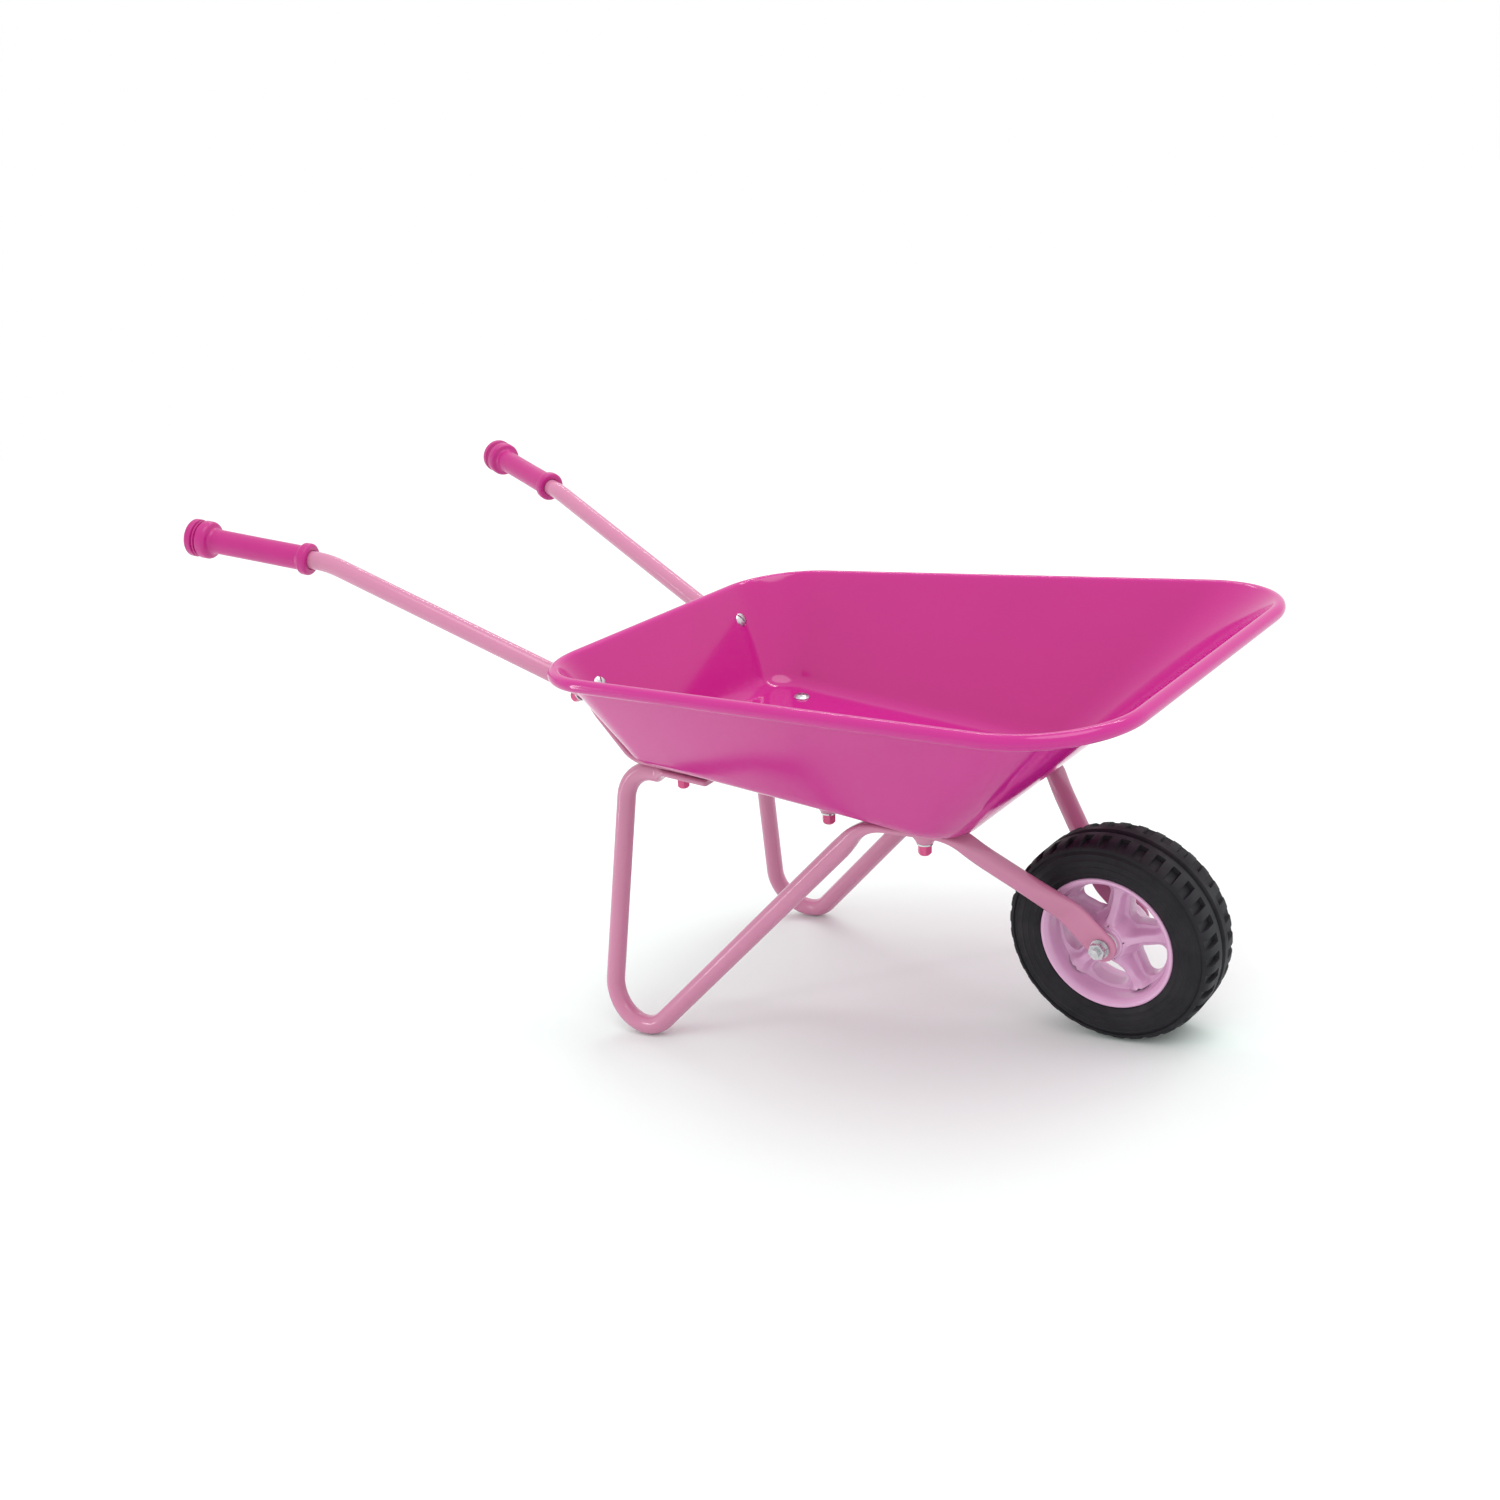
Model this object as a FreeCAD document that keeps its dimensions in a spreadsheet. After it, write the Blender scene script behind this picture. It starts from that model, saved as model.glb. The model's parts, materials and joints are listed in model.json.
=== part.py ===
import FreeCAD, Part
import math
import os

import Sketcher

V = FreeCAD.Vector
os.makedirs("parts", exist_ok=True)
doc = FreeCAD.newDocument("wheelbarrow")

# ---------------------------------------------------------------- driving dimensions
# Millimetres and degrees.  +X points to the wheel, +Y is the left-hand side, Z is up,
# the two feet and the tyre stand on Z = 0.
SIZES = {
    # tray: flat floor, four walls, rolled rim
    "sheetGauge": 1.0, "floorRearX": -20.0, "floorFrontX": 220.0, "floorRearHalf": 87.0,
    "floorFrontHalf": 80.0, "floorHeight": 204.8, "floorFall": 0.197, "floorRearCorner": 12.0,
    "floorFrontCorner": 18.0, "panFillet": 16.0,
    "rimRearX": -59.6, "rimRearZ": 287.4, "rimRearHalf": 144.4, "rimRearCorner": 57.0,
    "rimFrontX": 366.8, "rimFrontZ": 251.6, "rimFrontHalf": 167.2, "rimFrontCorner": 63.0,
    "beadRadius": 4.7, "beadInset": 3.3, "beadInsetRear": 2.0, "beadDropRear": 1.0,
    "beadDropFront": 0.6,
    # bent steel tube
    "tubeRadius": 7.0, "tubeWall": 1.2, "flatThick": 5.2, "flatWide": 20.4,
    # grips
    "gripLength": 105.0, "gripBodyRadius": 9.2, "gripEndRadius": 14.5, "gripEndLength": 20.0,
    "gripCollarRadius": 12.2, "gripCollarLength": 7.0, "gripBore": 7.02, "gripBoreDepth": 99.0,
    # tray bolts
    "boltRadius": 2.5, "boltHole": 2.6, "boltHeadRadius": 6.3, "boltHeadHeight": 2.8,
    "washerRadius": 5.6, "washerThick": 1.0, "capAcross": 8.2, "capLength": 7.6,
    # wheel
    "axleX": 284.0, "tyreRadius": 70.0, "tyreHalf": 23.0, "rimLipRadius": 45.3, "rimHalf": 21.5,
    "barrelOuter": 42.0, "barrelInner": 38.5, "webHalf": 5.0, "hubRadius": 11.5, "hubHalf": 21.0,
    "hubBore": 6.0, "spokeWide": 9.0, "spokeHalf": 11.0, "lugPitches": 36.0,
    # axle
    "axleRadius": 3.0, "bushBore": 3.05, "forkEyeInner": 23.3, "forkEyeThick": 4.4,
    "axleWasherThick": 1.6, "axleWasherRadius": 6.4, "nutHeight": 5.2, "nutAcross": 10.0,
    "axleHeadHeight": 4.2,
}
sheet = doc.addObject("Spreadsheet::Sheet", "sizes")
for row, (alias, number) in enumerate(SIZES.items(), start=1):
    sheet.set("A%d" % row, alias)
    sheet.set("B%d" % row, str(number))
    sheet.setAlias("B%d" % row, alias)
doc.recompute()


def size(alias):
    """Value of one spreadsheet cell."""
    return float(sheet.get(alias))


def finish(obj, label):
    """Recompute, check and export one node."""
    doc.recompute()
    if "Invalid" in obj.State or "Error" in obj.State:
        raise RuntimeError("%s did not recompute: %s" % (label, obj.State))
    if obj.Shape.isNull() or not obj.Shape.isValid():
        raise RuntimeError("%s has no valid shape" % label)
    obj.Label = label
    obj.Shape.exportStep("parts/%s.step" % label)


def solid_feature(name, shape):
    """A document object that holds a shape made with Part functions."""
    feature = doc.addObject("Part::Feature", name)
    feature.Shape = shape
    return feature


def mirrored(name, source):
    """The right-hand twin of a left-hand object."""
    twin = doc.addObject("Part::Mirroring", name)
    twin.Source = source
    twin.Normal = V(0, 1, 0)
    twin.Base = V(0, 0, 0)
    return twin


def both_sides(name, source):
    """A left-hand piece and its mirrored twin as one group of separate solids."""
    pair = doc.addObject("Part::Compound", name)
    pair.Links = [source, mirrored(name + "_twin", source)]
    return pair


# ---------------------------------------------------------------- bent paths and flattened tube
def corner_arc(before, corner, after, radius):
    """Start, middle, end and centre of the arc that rounds one corner."""
    back = (before - corner).normalize()
    ahead = (after - corner).normalize()
    half = back.getAngle(ahead) / 2.0
    reach = radius / math.tan(half)
    middle_line = (back + ahead).normalize()
    centre = corner + middle_line * (radius / math.sin(half))
    return corner + back * reach, centre - middle_line * radius, corner + ahead * reach, centre


def bent_path(corners, radii):
    """Wire of straight runs joined by arcs; radii belong to the inner corners."""
    edges = []
    start = corners[0]
    for index in range(1, len(corners) - 1):
        first, middle, last, _ = corner_arc(
            corners[index - 1], corners[index], corners[index + 1], radii[index - 1])
        if (first - start).Length > 1e-6:
            edges.append(Part.LineSegment(start, first).toShape())
        edges.append(Part.Arc(first, middle, last).toShape())
        start = last
    edges.append(Part.LineSegment(start, corners[-1]).toShape())
    return Part.Wire(edges)


def section(centre, along, kind, half_side, half_up):
    """Closed four-edge section across a tube: round, flat (thin upward) or upright (thin in Y)."""
    side = V(0, 1, 0) - along * along.y
    side.normalize()
    up = side.cross(along) * -1.0
    if kind == "round":
        corner_side = half_side * math.sqrt(0.5)
        corner_up = corner_side
    elif kind == "flat":
        corner_side = half_side - half_up
        corner_up = half_up
    else:
        corner_side = half_side
        corner_up = half_up - half_side
    corners = [(corner_side, corner_up), (-corner_side, corner_up),
               (-corner_side, -corner_up), (corner_side, -corner_up)]
    middles = [(0.0, half_up), (-half_side, 0.0), (0.0, -half_up), (half_side, 0.0)]
    edges = []
    for index in range(4):
        first, middle, last = [centre + side * s + up * u for s, u in (
            corners[index], middles[index], corners[(index + 1) % 4])]
        straight = (kind == "flat" and index % 2 == 0) or (kind == "upright" and index % 2 == 1)
        if straight:
            edges.append(Part.LineSegment(first, last).toShape())
        else:
            edges.append(Part.Arc(first, middle, last).toShape())
    return Part.Wire(edges)


def partial_path(path, begin, end):
    """The stretch of a path between two distances from its start."""
    edges = []
    passed = 0.0
    for edge in path.Edges:
        low = max(begin - passed, 0.0)
        high = min(end - passed, edge.Length)
        if high - low > 1e-4:
            edges.append(edge.Curve.toShape(
                edge.getParameterByLength(low), edge.getParameterByLength(high)))
        passed += edge.Length
    return Part.Wire(edges)


def place_on(path, distance):
    """Point and direction at a distance along a path."""
    passed = 0.0
    for edge in path.Edges:
        if distance <= passed + edge.Length or edge.isSame(path.Edges[-1]):
            parameter = edge.getParameterByLength(min(distance - passed, edge.Length))
            return edge.valueAt(parameter), edge.tangentAt(parameter)
        passed += edge.Length
    raise ValueError("distance is beyond the path")


def lifted(path, distance, kind, half_side, half_up, lift):
    """Tube section at a distance, raised across the path."""
    point, along = place_on(path, distance)
    side = V(0, 1, 0) - along * along.y
    side.normalize()
    up = side.cross(along) * -1.0
    return section(point + up * lift, along, kind, half_side, half_up)


def tube_along(path, runs):
    """Solid tube.  Each run is (begin, end, kind, half_side, half_up, lift); the gaps between
    runs become smooth changes of section."""
    pieces = []
    ends = []
    for begin, end, kind, half_side, half_up, lift in runs:
        sweep = Part.BRepOffsetAPI.MakePipeShell(partial_path(path, begin, end))
        sweep.setBiNormalMode(V(0, 1, 0))
        sweep.add(lifted(path, begin, kind, half_side, half_up, lift))
        sweep.build()
        first = Part.Wire(sweep.firstShape().Edges)
        last = Part.Wire(sweep.lastShape().Edges)
        sweep.makeSolid()
        pieces.append(sweep.shape())
        ends.append((first, last))
    for (_, leaving), (arriving, _) in zip(ends, ends[1:]):
        pieces.append(Part.makeLoft([leaving, arriving], True, True))
    tube = pieces[0].multiFuse(pieces[1:])
    for begin, end, kind, half_side, _, lift in runs:
        if kind == "round":
            bore = half_side - size("tubeWall")
            core = Part.BRepOffsetAPI.MakePipeShell(partial_path(path, begin, end))
            core.setBiNormalMode(V(0, 1, 0))
            core.add(lifted(path, begin, kind, bore, bore, lift))
            core.build()
            core.makeSolid()
            tube = tube.cut(core.shape())
    return tube


def path_distance(path, target):
    """Distance along the path of the place nearest to a point."""
    samples = path.discretize(Number=1201)
    nearest = min(range(1201), key=lambda i: (samples[i] - target).Length)
    return path.Length * nearest / 1200.0


# ---------------------------------------------------------------- floor plane
def floor_under(x):
    """Height of the underside of the tray floor."""
    return size("floorHeight") - size("floorFall") * x


floor_tilt = math.atan(size("floorFall"))
floor_up = V(math.sin(floor_tilt), 0, math.cos(floor_tilt))
floor_ahead = V(math.cos(floor_tilt), 0, -math.sin(floor_tilt))
gauge = size("sheetGauge")
flat = size("flatThick")


def slab_below(origin, normal, reach=60.0):
    """Half-space stand-in: a block on the positive side of a plane."""
    block = Part.makeBox(2 * reach, 2 * reach, reach, V(-reach, -reach, 0))
    block.Placement = FreeCAD.Placement(origin, FreeCAD.Rotation(V(0, 0, 1), normal))
    return block


def drill(origin, axis, radius, length):
    """Cylinder centred on a point of its axis."""
    return Part.makeCylinder(radius, length, origin - axis * (length / 2.0), axis)


# ---------------------------------------------------------------- tray
def tray_ring(rear, front, rear_half, front_half, rear_corner, front_corner):
    """Closed rounded trapezium through rear and front edge points given as (x, z)."""
    corners = [V(rear[0], -rear_half, rear[1]), V(front[0], -front_half, front[1]),
               V(front[0], front_half, front[1]), V(rear[0], rear_half, rear[1])]
    radii = [rear_corner, front_corner, front_corner, rear_corner]
    arcs = []
    for index in range(4):
        arcs.append(corner_arc(
            corners[index - 1], corners[index], corners[(index + 1) % 4], radii[index]))
    edges = []
    for index in range(4):
        first, middle, last, _ = arcs[index]
        following = arcs[(index + 1) % 4][0]
        edges.append(Part.Arc(first, middle, last).toShape())
        edges.append(Part.LineSegment(last, following).toShape())
    return Part.Wire(edges)


bead = size("beadRadius")
inset = size("beadInset")
fillet = size("panFillet")
floor_rear = size("floorRearX")
floor_front = size("floorFrontX")
top_rear = (size("rimRearX") + size("beadInsetRear"), size("rimRearZ") - size("beadDropRear"))
top_front = (size("rimFrontX") - inset, size("rimFrontZ") - size("beadDropFront"))
top_rear_half = size("rimRearHalf") - inset
top_front_half = size("rimFrontHalf") - inset


def wall_lean(run, top_height, floor_x):
    """Angle of a wall that leaves the pan fillet in line with its top edge, run away."""
    rise = top_height - floor_under(floor_x) - fillet
    return math.atan2(rise, run) + math.asin(fillet / math.hypot(run, rise))


rear_turn = wall_lean(floor_rear - top_rear[0], top_rear[1], floor_rear)
front_turn = wall_lean(top_front[0] - floor_front, top_front[1], floor_front)
side_turn_rear = wall_lean(top_rear_half - size("floorRearHalf"), top_rear[1], floor_rear)
side_turn_front = wall_lean(top_front_half - size("floorFrontHalf"), top_front[1], floor_front)


def pan_sections(offset, rise):
    """Sections of the pan surface from the floor to the rim, moved inward by an offset and
    carried on past the rim by a rise."""
    roll = fillet - offset
    steps = 6
    sections = []
    for step in range(steps + 1):
        part = step / steps
        rear_x = floor_rear - roll * math.sin(rear_turn * part)
        front_x = floor_front + roll * math.sin(front_turn * part)
        rear_z = floor_under(rear_x) + fillet - roll * math.cos(rear_turn * part)
        front_z = floor_under(front_x) + fillet - roll * math.cos(front_turn * part)
        rear_out = roll * math.sin(side_turn_rear * part)
        front_out = roll * math.sin(side_turn_front * part)
        sections.append(tray_ring(
            (rear_x, rear_z), (front_x, front_z),
            size("floorRearHalf") + rear_out, size("floorFrontHalf") + front_out,
            size("floorRearCorner") + rear_out, size("floorFrontCorner") + front_out))
    rear = (top_rear[0] + offset * math.sin(rear_turn) - rise / math.tan(rear_turn),
            top_rear[1] + offset * math.cos(rear_turn) + rise)
    front = (top_front[0] - offset * math.sin(front_turn) + rise / math.tan(front_turn),
             top_front[1] + offset * math.cos(front_turn) + rise)
    rear_spread = rise / math.tan(side_turn_rear) - offset / math.sin(side_turn_rear)
    front_spread = rise / math.tan(side_turn_front) - offset / math.sin(side_turn_front)
    sections.append(tray_ring(
        rear, front, top_rear_half + rear_spread, top_front_half + front_spread,
        size("rimRearCorner") - inset + rear_spread,
        size("rimFrontCorner") - inset + front_spread))
    return sections


pan = Part.makeLoft(pan_sections(0.0, 0.0), True, True)
hollow = Part.makeLoft(pan_sections(gauge, 3.0), True, True)
rim_line = tray_ring(
    (size("rimRearX"), size("rimRearZ")), (size("rimFrontX"), size("rimFrontZ")),
    size("rimRearHalf"), size("rimFrontHalf"), size("rimRearCorner"), size("rimFrontCorner"))
start_edge = rim_line.Edges[1]
start_point = start_edge.valueAt(start_edge.FirstParameter)
start_tangent = start_edge.tangentAt(start_edge.FirstParameter)
rim_path = Part.Wire(rim_line.Edges[1:] + rim_line.Edges[:1])


def rim_roll(radius):
    """Closed round bar along the rim line."""
    profile = Part.Wire([Part.Circle(start_point, start_tangent, radius).toShape()])
    return rim_path.makePipeShell([profile], True, False)


tray_shape = pan.cut(hollow).fuse(rim_roll(bead)).cut(rim_roll(bead - gauge)).removeSplitter()

# rear wall plane (underside / outside face)
rear_low = V(floor_rear - fillet * math.sin(rear_turn), 0, 0)
rear_low.z = floor_under(rear_low.x) + fillet * (1 - math.cos(rear_turn))
rear_high = V(top_rear[0], 0, top_rear[1])
wall_along = (rear_high - rear_low).normalize()
wall_out = V(-wall_along.z, 0, wall_along.x)

# ---------------------------------------------------------------- left-hand paths
grip_end = V(-366.6, 165.8, 411.0)
collar_centre = V(-280.5, 135.8, 382.3)
grip_line = (collar_centre - grip_end).normalize()
handle_corners = [
    grip_end + grip_line * (size("gripLength") - size("gripBoreDepth") + 0.3),
    grip_end + grip_line * 120.0,
    V(-60.6, 83.8, 259.6),
    V(-33.3, 75.5, floor_under(-33.3) - flat / 2.0),
    V(137.0, 65.0, floor_under(137.0) - flat / 2.0),
]
handle_path = bent_path(handle_corners, [88.0, 22.0, 17.0])
wall_bolt_run = path_distance(handle_path, V(-62.5, 84.2, 260.7))
wall_bolt_place = place_on(handle_path, wall_bolt_run)[0]
tube = size("tubeRadius")
strap_side = size("flatWide") / 2.0
strap_up = flat / 2.0
handle_runs = [
    (0.0, wall_bolt_run + 8.0, "round", tube, tube, 0.0),
    (wall_bolt_run + 20.0, handle_path.Length, "flat", strap_side, strap_up, 0.0),
]

leg_corners = [
    V(27.0, 73.4, floor_under(27.0) - flat - 7.1),
    V(-44.5, 77.6, floor_under(-44.5) - flat - 7.1),
    V(-97.0, 116.0, -37.5),
    V(158.5, 82.5, floor_under(158.5) - 4.7),
    V(214.0, 68.0, floor_under(214.0) - 4.7),
    V(265.0, 25.5, 92.0),
    V(size("axleX"), 25.5, size("tyreRadius")),
]
leg_path = bent_path(leg_corners, [24.0, 28.4, 34.0, 28.0, 24.0])


def leg_run(x, y, z):
    """Distance along the leg tube."""
    return path_distance(leg_path, V(x, y, z))


eye_half = size("forkEyeThick") / 2.0
leg_runs = [
    (0.0, leg_run(-6.0, 75.0, 192.0), "flat", strap_side, 2.5, -4.6),
    (leg_run(-15.0, 76.0, 194.0), leg_run(140.0, 84.0, 155.0), "round", tube, tube, 0.0),
    (leg_run(176.0, 79.0, 165.0), leg_run(206.0, 70.0, 160.0), "flat", 9.8, strap_up, 2.1),
    (leg_run(224.0, 58.0, 143.0), leg_run(246.0, 40.0, 116.0), "round", tube, tube, 0.0),
    (leg_run(272.0, 25.5, 84.0), leg_path.Length, "upright", eye_half, 9.6, 0.0),
]

# ---------------------------------------------------------------- bolt stations (left-hand side)
# name, seat on the inner face of the tray, axis pointing into the tray, clamped stack
cone_drop = 6.0
cone_overlap = 0.6
cone_wide = 9.0
cone_narrow = 5.6
wall_clamp = 6.4
wall_inner_gap = (wall_bolt_place - rear_low).dot(wall_out)
wall_seat = wall_bolt_place - wall_out * (wall_inner_gap + gauge)
stations = [
    ("rear_wall", wall_seat, wall_out * -1.0, gauge + wall_inner_gap + wall_clamp),
    ("floor_rear", V(5.0, 74.2, floor_under(5.0)) + floor_up * gauge, floor_up, gauge + flat + 5.0),
    ("floor_middle", V(121.0, 66.0, floor_under(121.0)) + floor_up * gauge, floor_up,
     gauge + flat + cone_drop),
    ("floor_front", V(197.0, 71.8, floor_under(197.0)) + floor_up * gauge, floor_up,
     gauge + flat + cone_drop),
]


def site(name):
    """Seat, axis and stack of one bolt station."""
    for entry in stations:
        if entry[0] == name:
            return entry[1:]
    raise KeyError(name)


# ---------------------------------------------------------------- tray node
# a flat seat is pressed round each bolt head, so the curved corners clear the head
seat_radius = size("boltHeadRadius") + 0.6
seat_depth = 8.0
hole_reach = 12.0
for _, seat, axis, _ in stations:
    for side in (1, -1):
        place = V(seat.x, seat.y * side, seat.z)
        tray_shape = tray_shape.cut(Part.makeCylinder(seat_radius, seat_depth, place, axis))
        tray_shape = tray_shape.fuse(Part.makeCylinder(seat_radius, gauge, place, axis * -1.0))
        tray_shape = tray_shape.cut(drill(place, axis, size("boltHole"), hole_reach))
tray = solid_feature("tray", tray_shape.Solids[0])
finish(tray, "tray")

# ---------------------------------------------------------------- handle tubes
# the blocks stand for the floor (or the strap) above each flattened tube
strap_y = 75.0
handle_cut_x, handle_cut_reach = 80.0, 104.0
tab_cut_x, tab_cut_reach = 5.0, 40.0
fork_cut_x, fork_cut_reach = 185.0, 34.0
floor_block = slab_below(
    V(handle_cut_x, strap_y, floor_under(handle_cut_x)), floor_up, handle_cut_reach)
handle_shape = tube_along(handle_path, handle_runs)
handle_shape = handle_shape.cut(floor_block)


def cone_under(name):
    """Pressed conical seat that carries the nut of a floor bolt."""
    seat, axis, _ = site(name)
    top = seat - axis * (gauge + flat - cone_overlap)
    return Part.makeCone(cone_wide, cone_narrow, cone_drop + cone_overlap, top, axis * -1.0)


def bolt_bore(name):
    """Clearance hole through everything a bolt clamps, with spare length at both ends."""
    spare = 15.0
    seat, axis, stack = site(name)
    return drill(seat - axis * (stack / 2.0), axis, size("boltHole"), stack + 2.0 * spare)


handle_shape = handle_shape.fuse(cone_under("floor_middle"))
for name in ("rear_wall", "floor_rear", "floor_middle"):
    handle_shape = handle_shape.cut(bolt_bore(name))
wall_nut_face = wall_bolt_place + wall_out * wall_clamp
nut_seat_radius = 6.2
handle_shape = handle_shape.cut(Part.makeCylinder(nut_seat_radius, 6.0, wall_nut_face, wall_out))
handle_left = solid_feature("handle_tube_left", handle_shape.Solids[0])
finish(handle_left, "handle_tube_left")
handle_right = mirrored("handle_tube_right", handle_left)
finish(handle_right, "handle_tube_right")

# ---------------------------------------------------------------- leg and fork tubes
leg_shape = tube_along(leg_path, leg_runs)
leg_shape = leg_shape.cut(slab_below(
    V(tab_cut_x, strap_y, floor_under(tab_cut_x)) - floor_up * flat, floor_up, tab_cut_reach))
leg_shape = leg_shape.cut(slab_below(
    V(fork_cut_x, strap_y, floor_under(fork_cut_x)), floor_up, fork_cut_reach))
eye_centre = V(size("axleX"), size("forkEyeInner"), size("tyreRadius"))
eye_radius = 10.2
eye_disc = Part.makeCylinder(eye_radius, size("forkEyeThick"), eye_centre, V(0, 1, 0))
leg_shape = leg_shape.fuse(eye_disc).fuse(cone_under("floor_front"))
for name in ("floor_rear", "floor_front"):
    leg_shape = leg_shape.cut(bolt_bore(name))
leg_shape = leg_shape.cut(drill(eye_centre, V(0, 1, 0), size("axleRadius") + 0.1, 20.0))
trim_radius, trim_depth = 16.0, 6.0
for face_y, turn in ((size("forkEyeInner"), -1.0), (size("forkEyeInner") + size("forkEyeThick"), 1.0)):
    trim = Part.makeCylinder(
        trim_radius, trim_depth, V(size("axleX"), face_y, size("tyreRadius")), V(0, turn, 0))
    leg_shape = leg_shape.cut(trim)
leg_left = solid_feature("leg_fork_tube_left", leg_shape.Solids[0])
finish(leg_left, "leg_fork_tube_left")
leg_right = mirrored("leg_fork_tube_right", leg_left)
finish(leg_right, "leg_fork_tube_right")


# ---------------------------------------------------------------- sketched bodies
def turned_body(name, outline):
    """Body made by turning a closed outline about its own Z axis.  Each vertex is
    (radius, height); either may be a number or an expression on the spreadsheet."""
    body = doc.addObject("PartDesign::Body", name)
    origin_plane = [o for o in body.Origin.OriginFeatures if o.Role == "XZ_Plane"][0]
    sketch = body.newObject("Sketcher::SketchObject", name + "_outline")
    sketch.AttachmentSupport = [(origin_plane, "")]
    sketch.MapMode = "FlatFace"
    numbers = []
    for vertex in outline:
        pair = []
        for entry in vertex:
            pair.append(evaluate(entry) if isinstance(entry, str) else float(entry))
        numbers.append(pair)
    count = len(outline)
    for index in range(count):
        first = numbers[index]
        last = numbers[(index + 1) % count]
        sketch.addGeometry(Part.LineSegment(V(first[0], first[1], 0), V(last[0], last[1], 0)), False)
    for index in range(count):
        previous = (index - 1) % count
        sketch.addConstraint(Sketcher.Constraint("Coincident", previous, 2, index, 1))
    for index, vertex in enumerate(outline):
        for axis in (0, 1):
            entry = vertex[axis]
            value = numbers[index][axis]
            if abs(value) < 1e-9:
                line = -2 if axis == 0 else -1
                sketch.addConstraint(Sketcher.Constraint("PointOnObject", index, 1, line))
                continue
            kind = "DistanceX" if axis == 0 else "DistanceY"
            number = sketch.addConstraint(Sketcher.Constraint(kind, -1, 1, index, 1, value))
            if isinstance(entry, str):
                sketch.setExpression("Constraints[%d]" % number, entry)
    turn = body.newObject("PartDesign::Revolution", name + "_turn")
    turn.Profile = sketch
    turn.ReferenceAxis = (sketch, ["V_Axis"])
    turn.Angle = 360.0
    doc.recompute()
    return body


def evaluate(expression):
    """Number behind an expression written with sizes.* cells."""
    words = expression.replace("(", " ( ").replace(")", " ) ").split()
    total = 0.0
    sign = 1.0
    for word in words:
        if word == "+":
            sign = 1.0
        elif word == "-":
            sign = -1.0
        else:
            total += sign * (size(word.split(".")[1]) if "." in word and word[0] == "s" else float(word))
    return total


def point_along(body, origin, direction, spin=0.0):
    """Place a turned body with its Z axis along a direction."""
    aim = FreeCAD.Rotation(V(0, 0, 1), direction)
    body.Placement = FreeCAD.Placement(origin, aim.multiply(FreeCAD.Rotation(V(0, 0, 1), spin)))
    doc.recompute()


# grips: plastic sleeve with a ringed end knob and a front collar
grip_outline = [
    (0, 0), ("sizes.gripEndRadius - 4.0", 0), ("sizes.gripEndRadius - 1.2", 1.0),
    ("sizes.gripEndRadius", 3.4),
    ("sizes.gripEndRadius", 6.0), ("sizes.gripEndRadius - 1.4", 7.0), ("sizes.gripEndRadius - 1.4", 8.4),
    ("sizes.gripEndRadius", 9.4), ("sizes.gripEndRadius", 12.4), ("sizes.gripEndRadius - 1.4", 13.4),
    ("sizes.gripEndRadius - 1.4", 14.8), ("sizes.gripEndRadius - 0.4", 15.8),
    ("sizes.gripEndRadius - 1.0", 18.6), ("sizes.gripBodyRadius + 1.4", "sizes.gripEndLength"),
    ("sizes.gripBodyRadius", "sizes.gripEndLength + 3.0"),
    ("sizes.gripBodyRadius", "sizes.gripLength - sizes.gripCollarLength - 2.0"),
    ("sizes.gripCollarRadius - 1.2", "sizes.gripLength - sizes.gripCollarLength"),
    ("sizes.gripCollarRadius", "sizes.gripLength - sizes.gripCollarLength + 2.0"),
    ("sizes.gripCollarRadius", "sizes.gripLength - 2.0"),
    ("sizes.gripCollarRadius - 1.6", "sizes.gripLength"),
    ("sizes.gripBore", "sizes.gripLength"),
    ("sizes.gripBore", "sizes.gripLength - sizes.gripBoreDepth"),
    (0, "sizes.gripLength - sizes.gripBoreDepth"),
]
grip_left = turned_body("grip_left", grip_outline)
point_along(grip_left, grip_end, grip_line)
finish(grip_left, "grip_left")
grip_right = mirrored("grip_right", grip_left)
finish(grip_right, "grip_right")


# ---------------------------------------------------------------- tray fasteners
cap_end = 2.4


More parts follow.
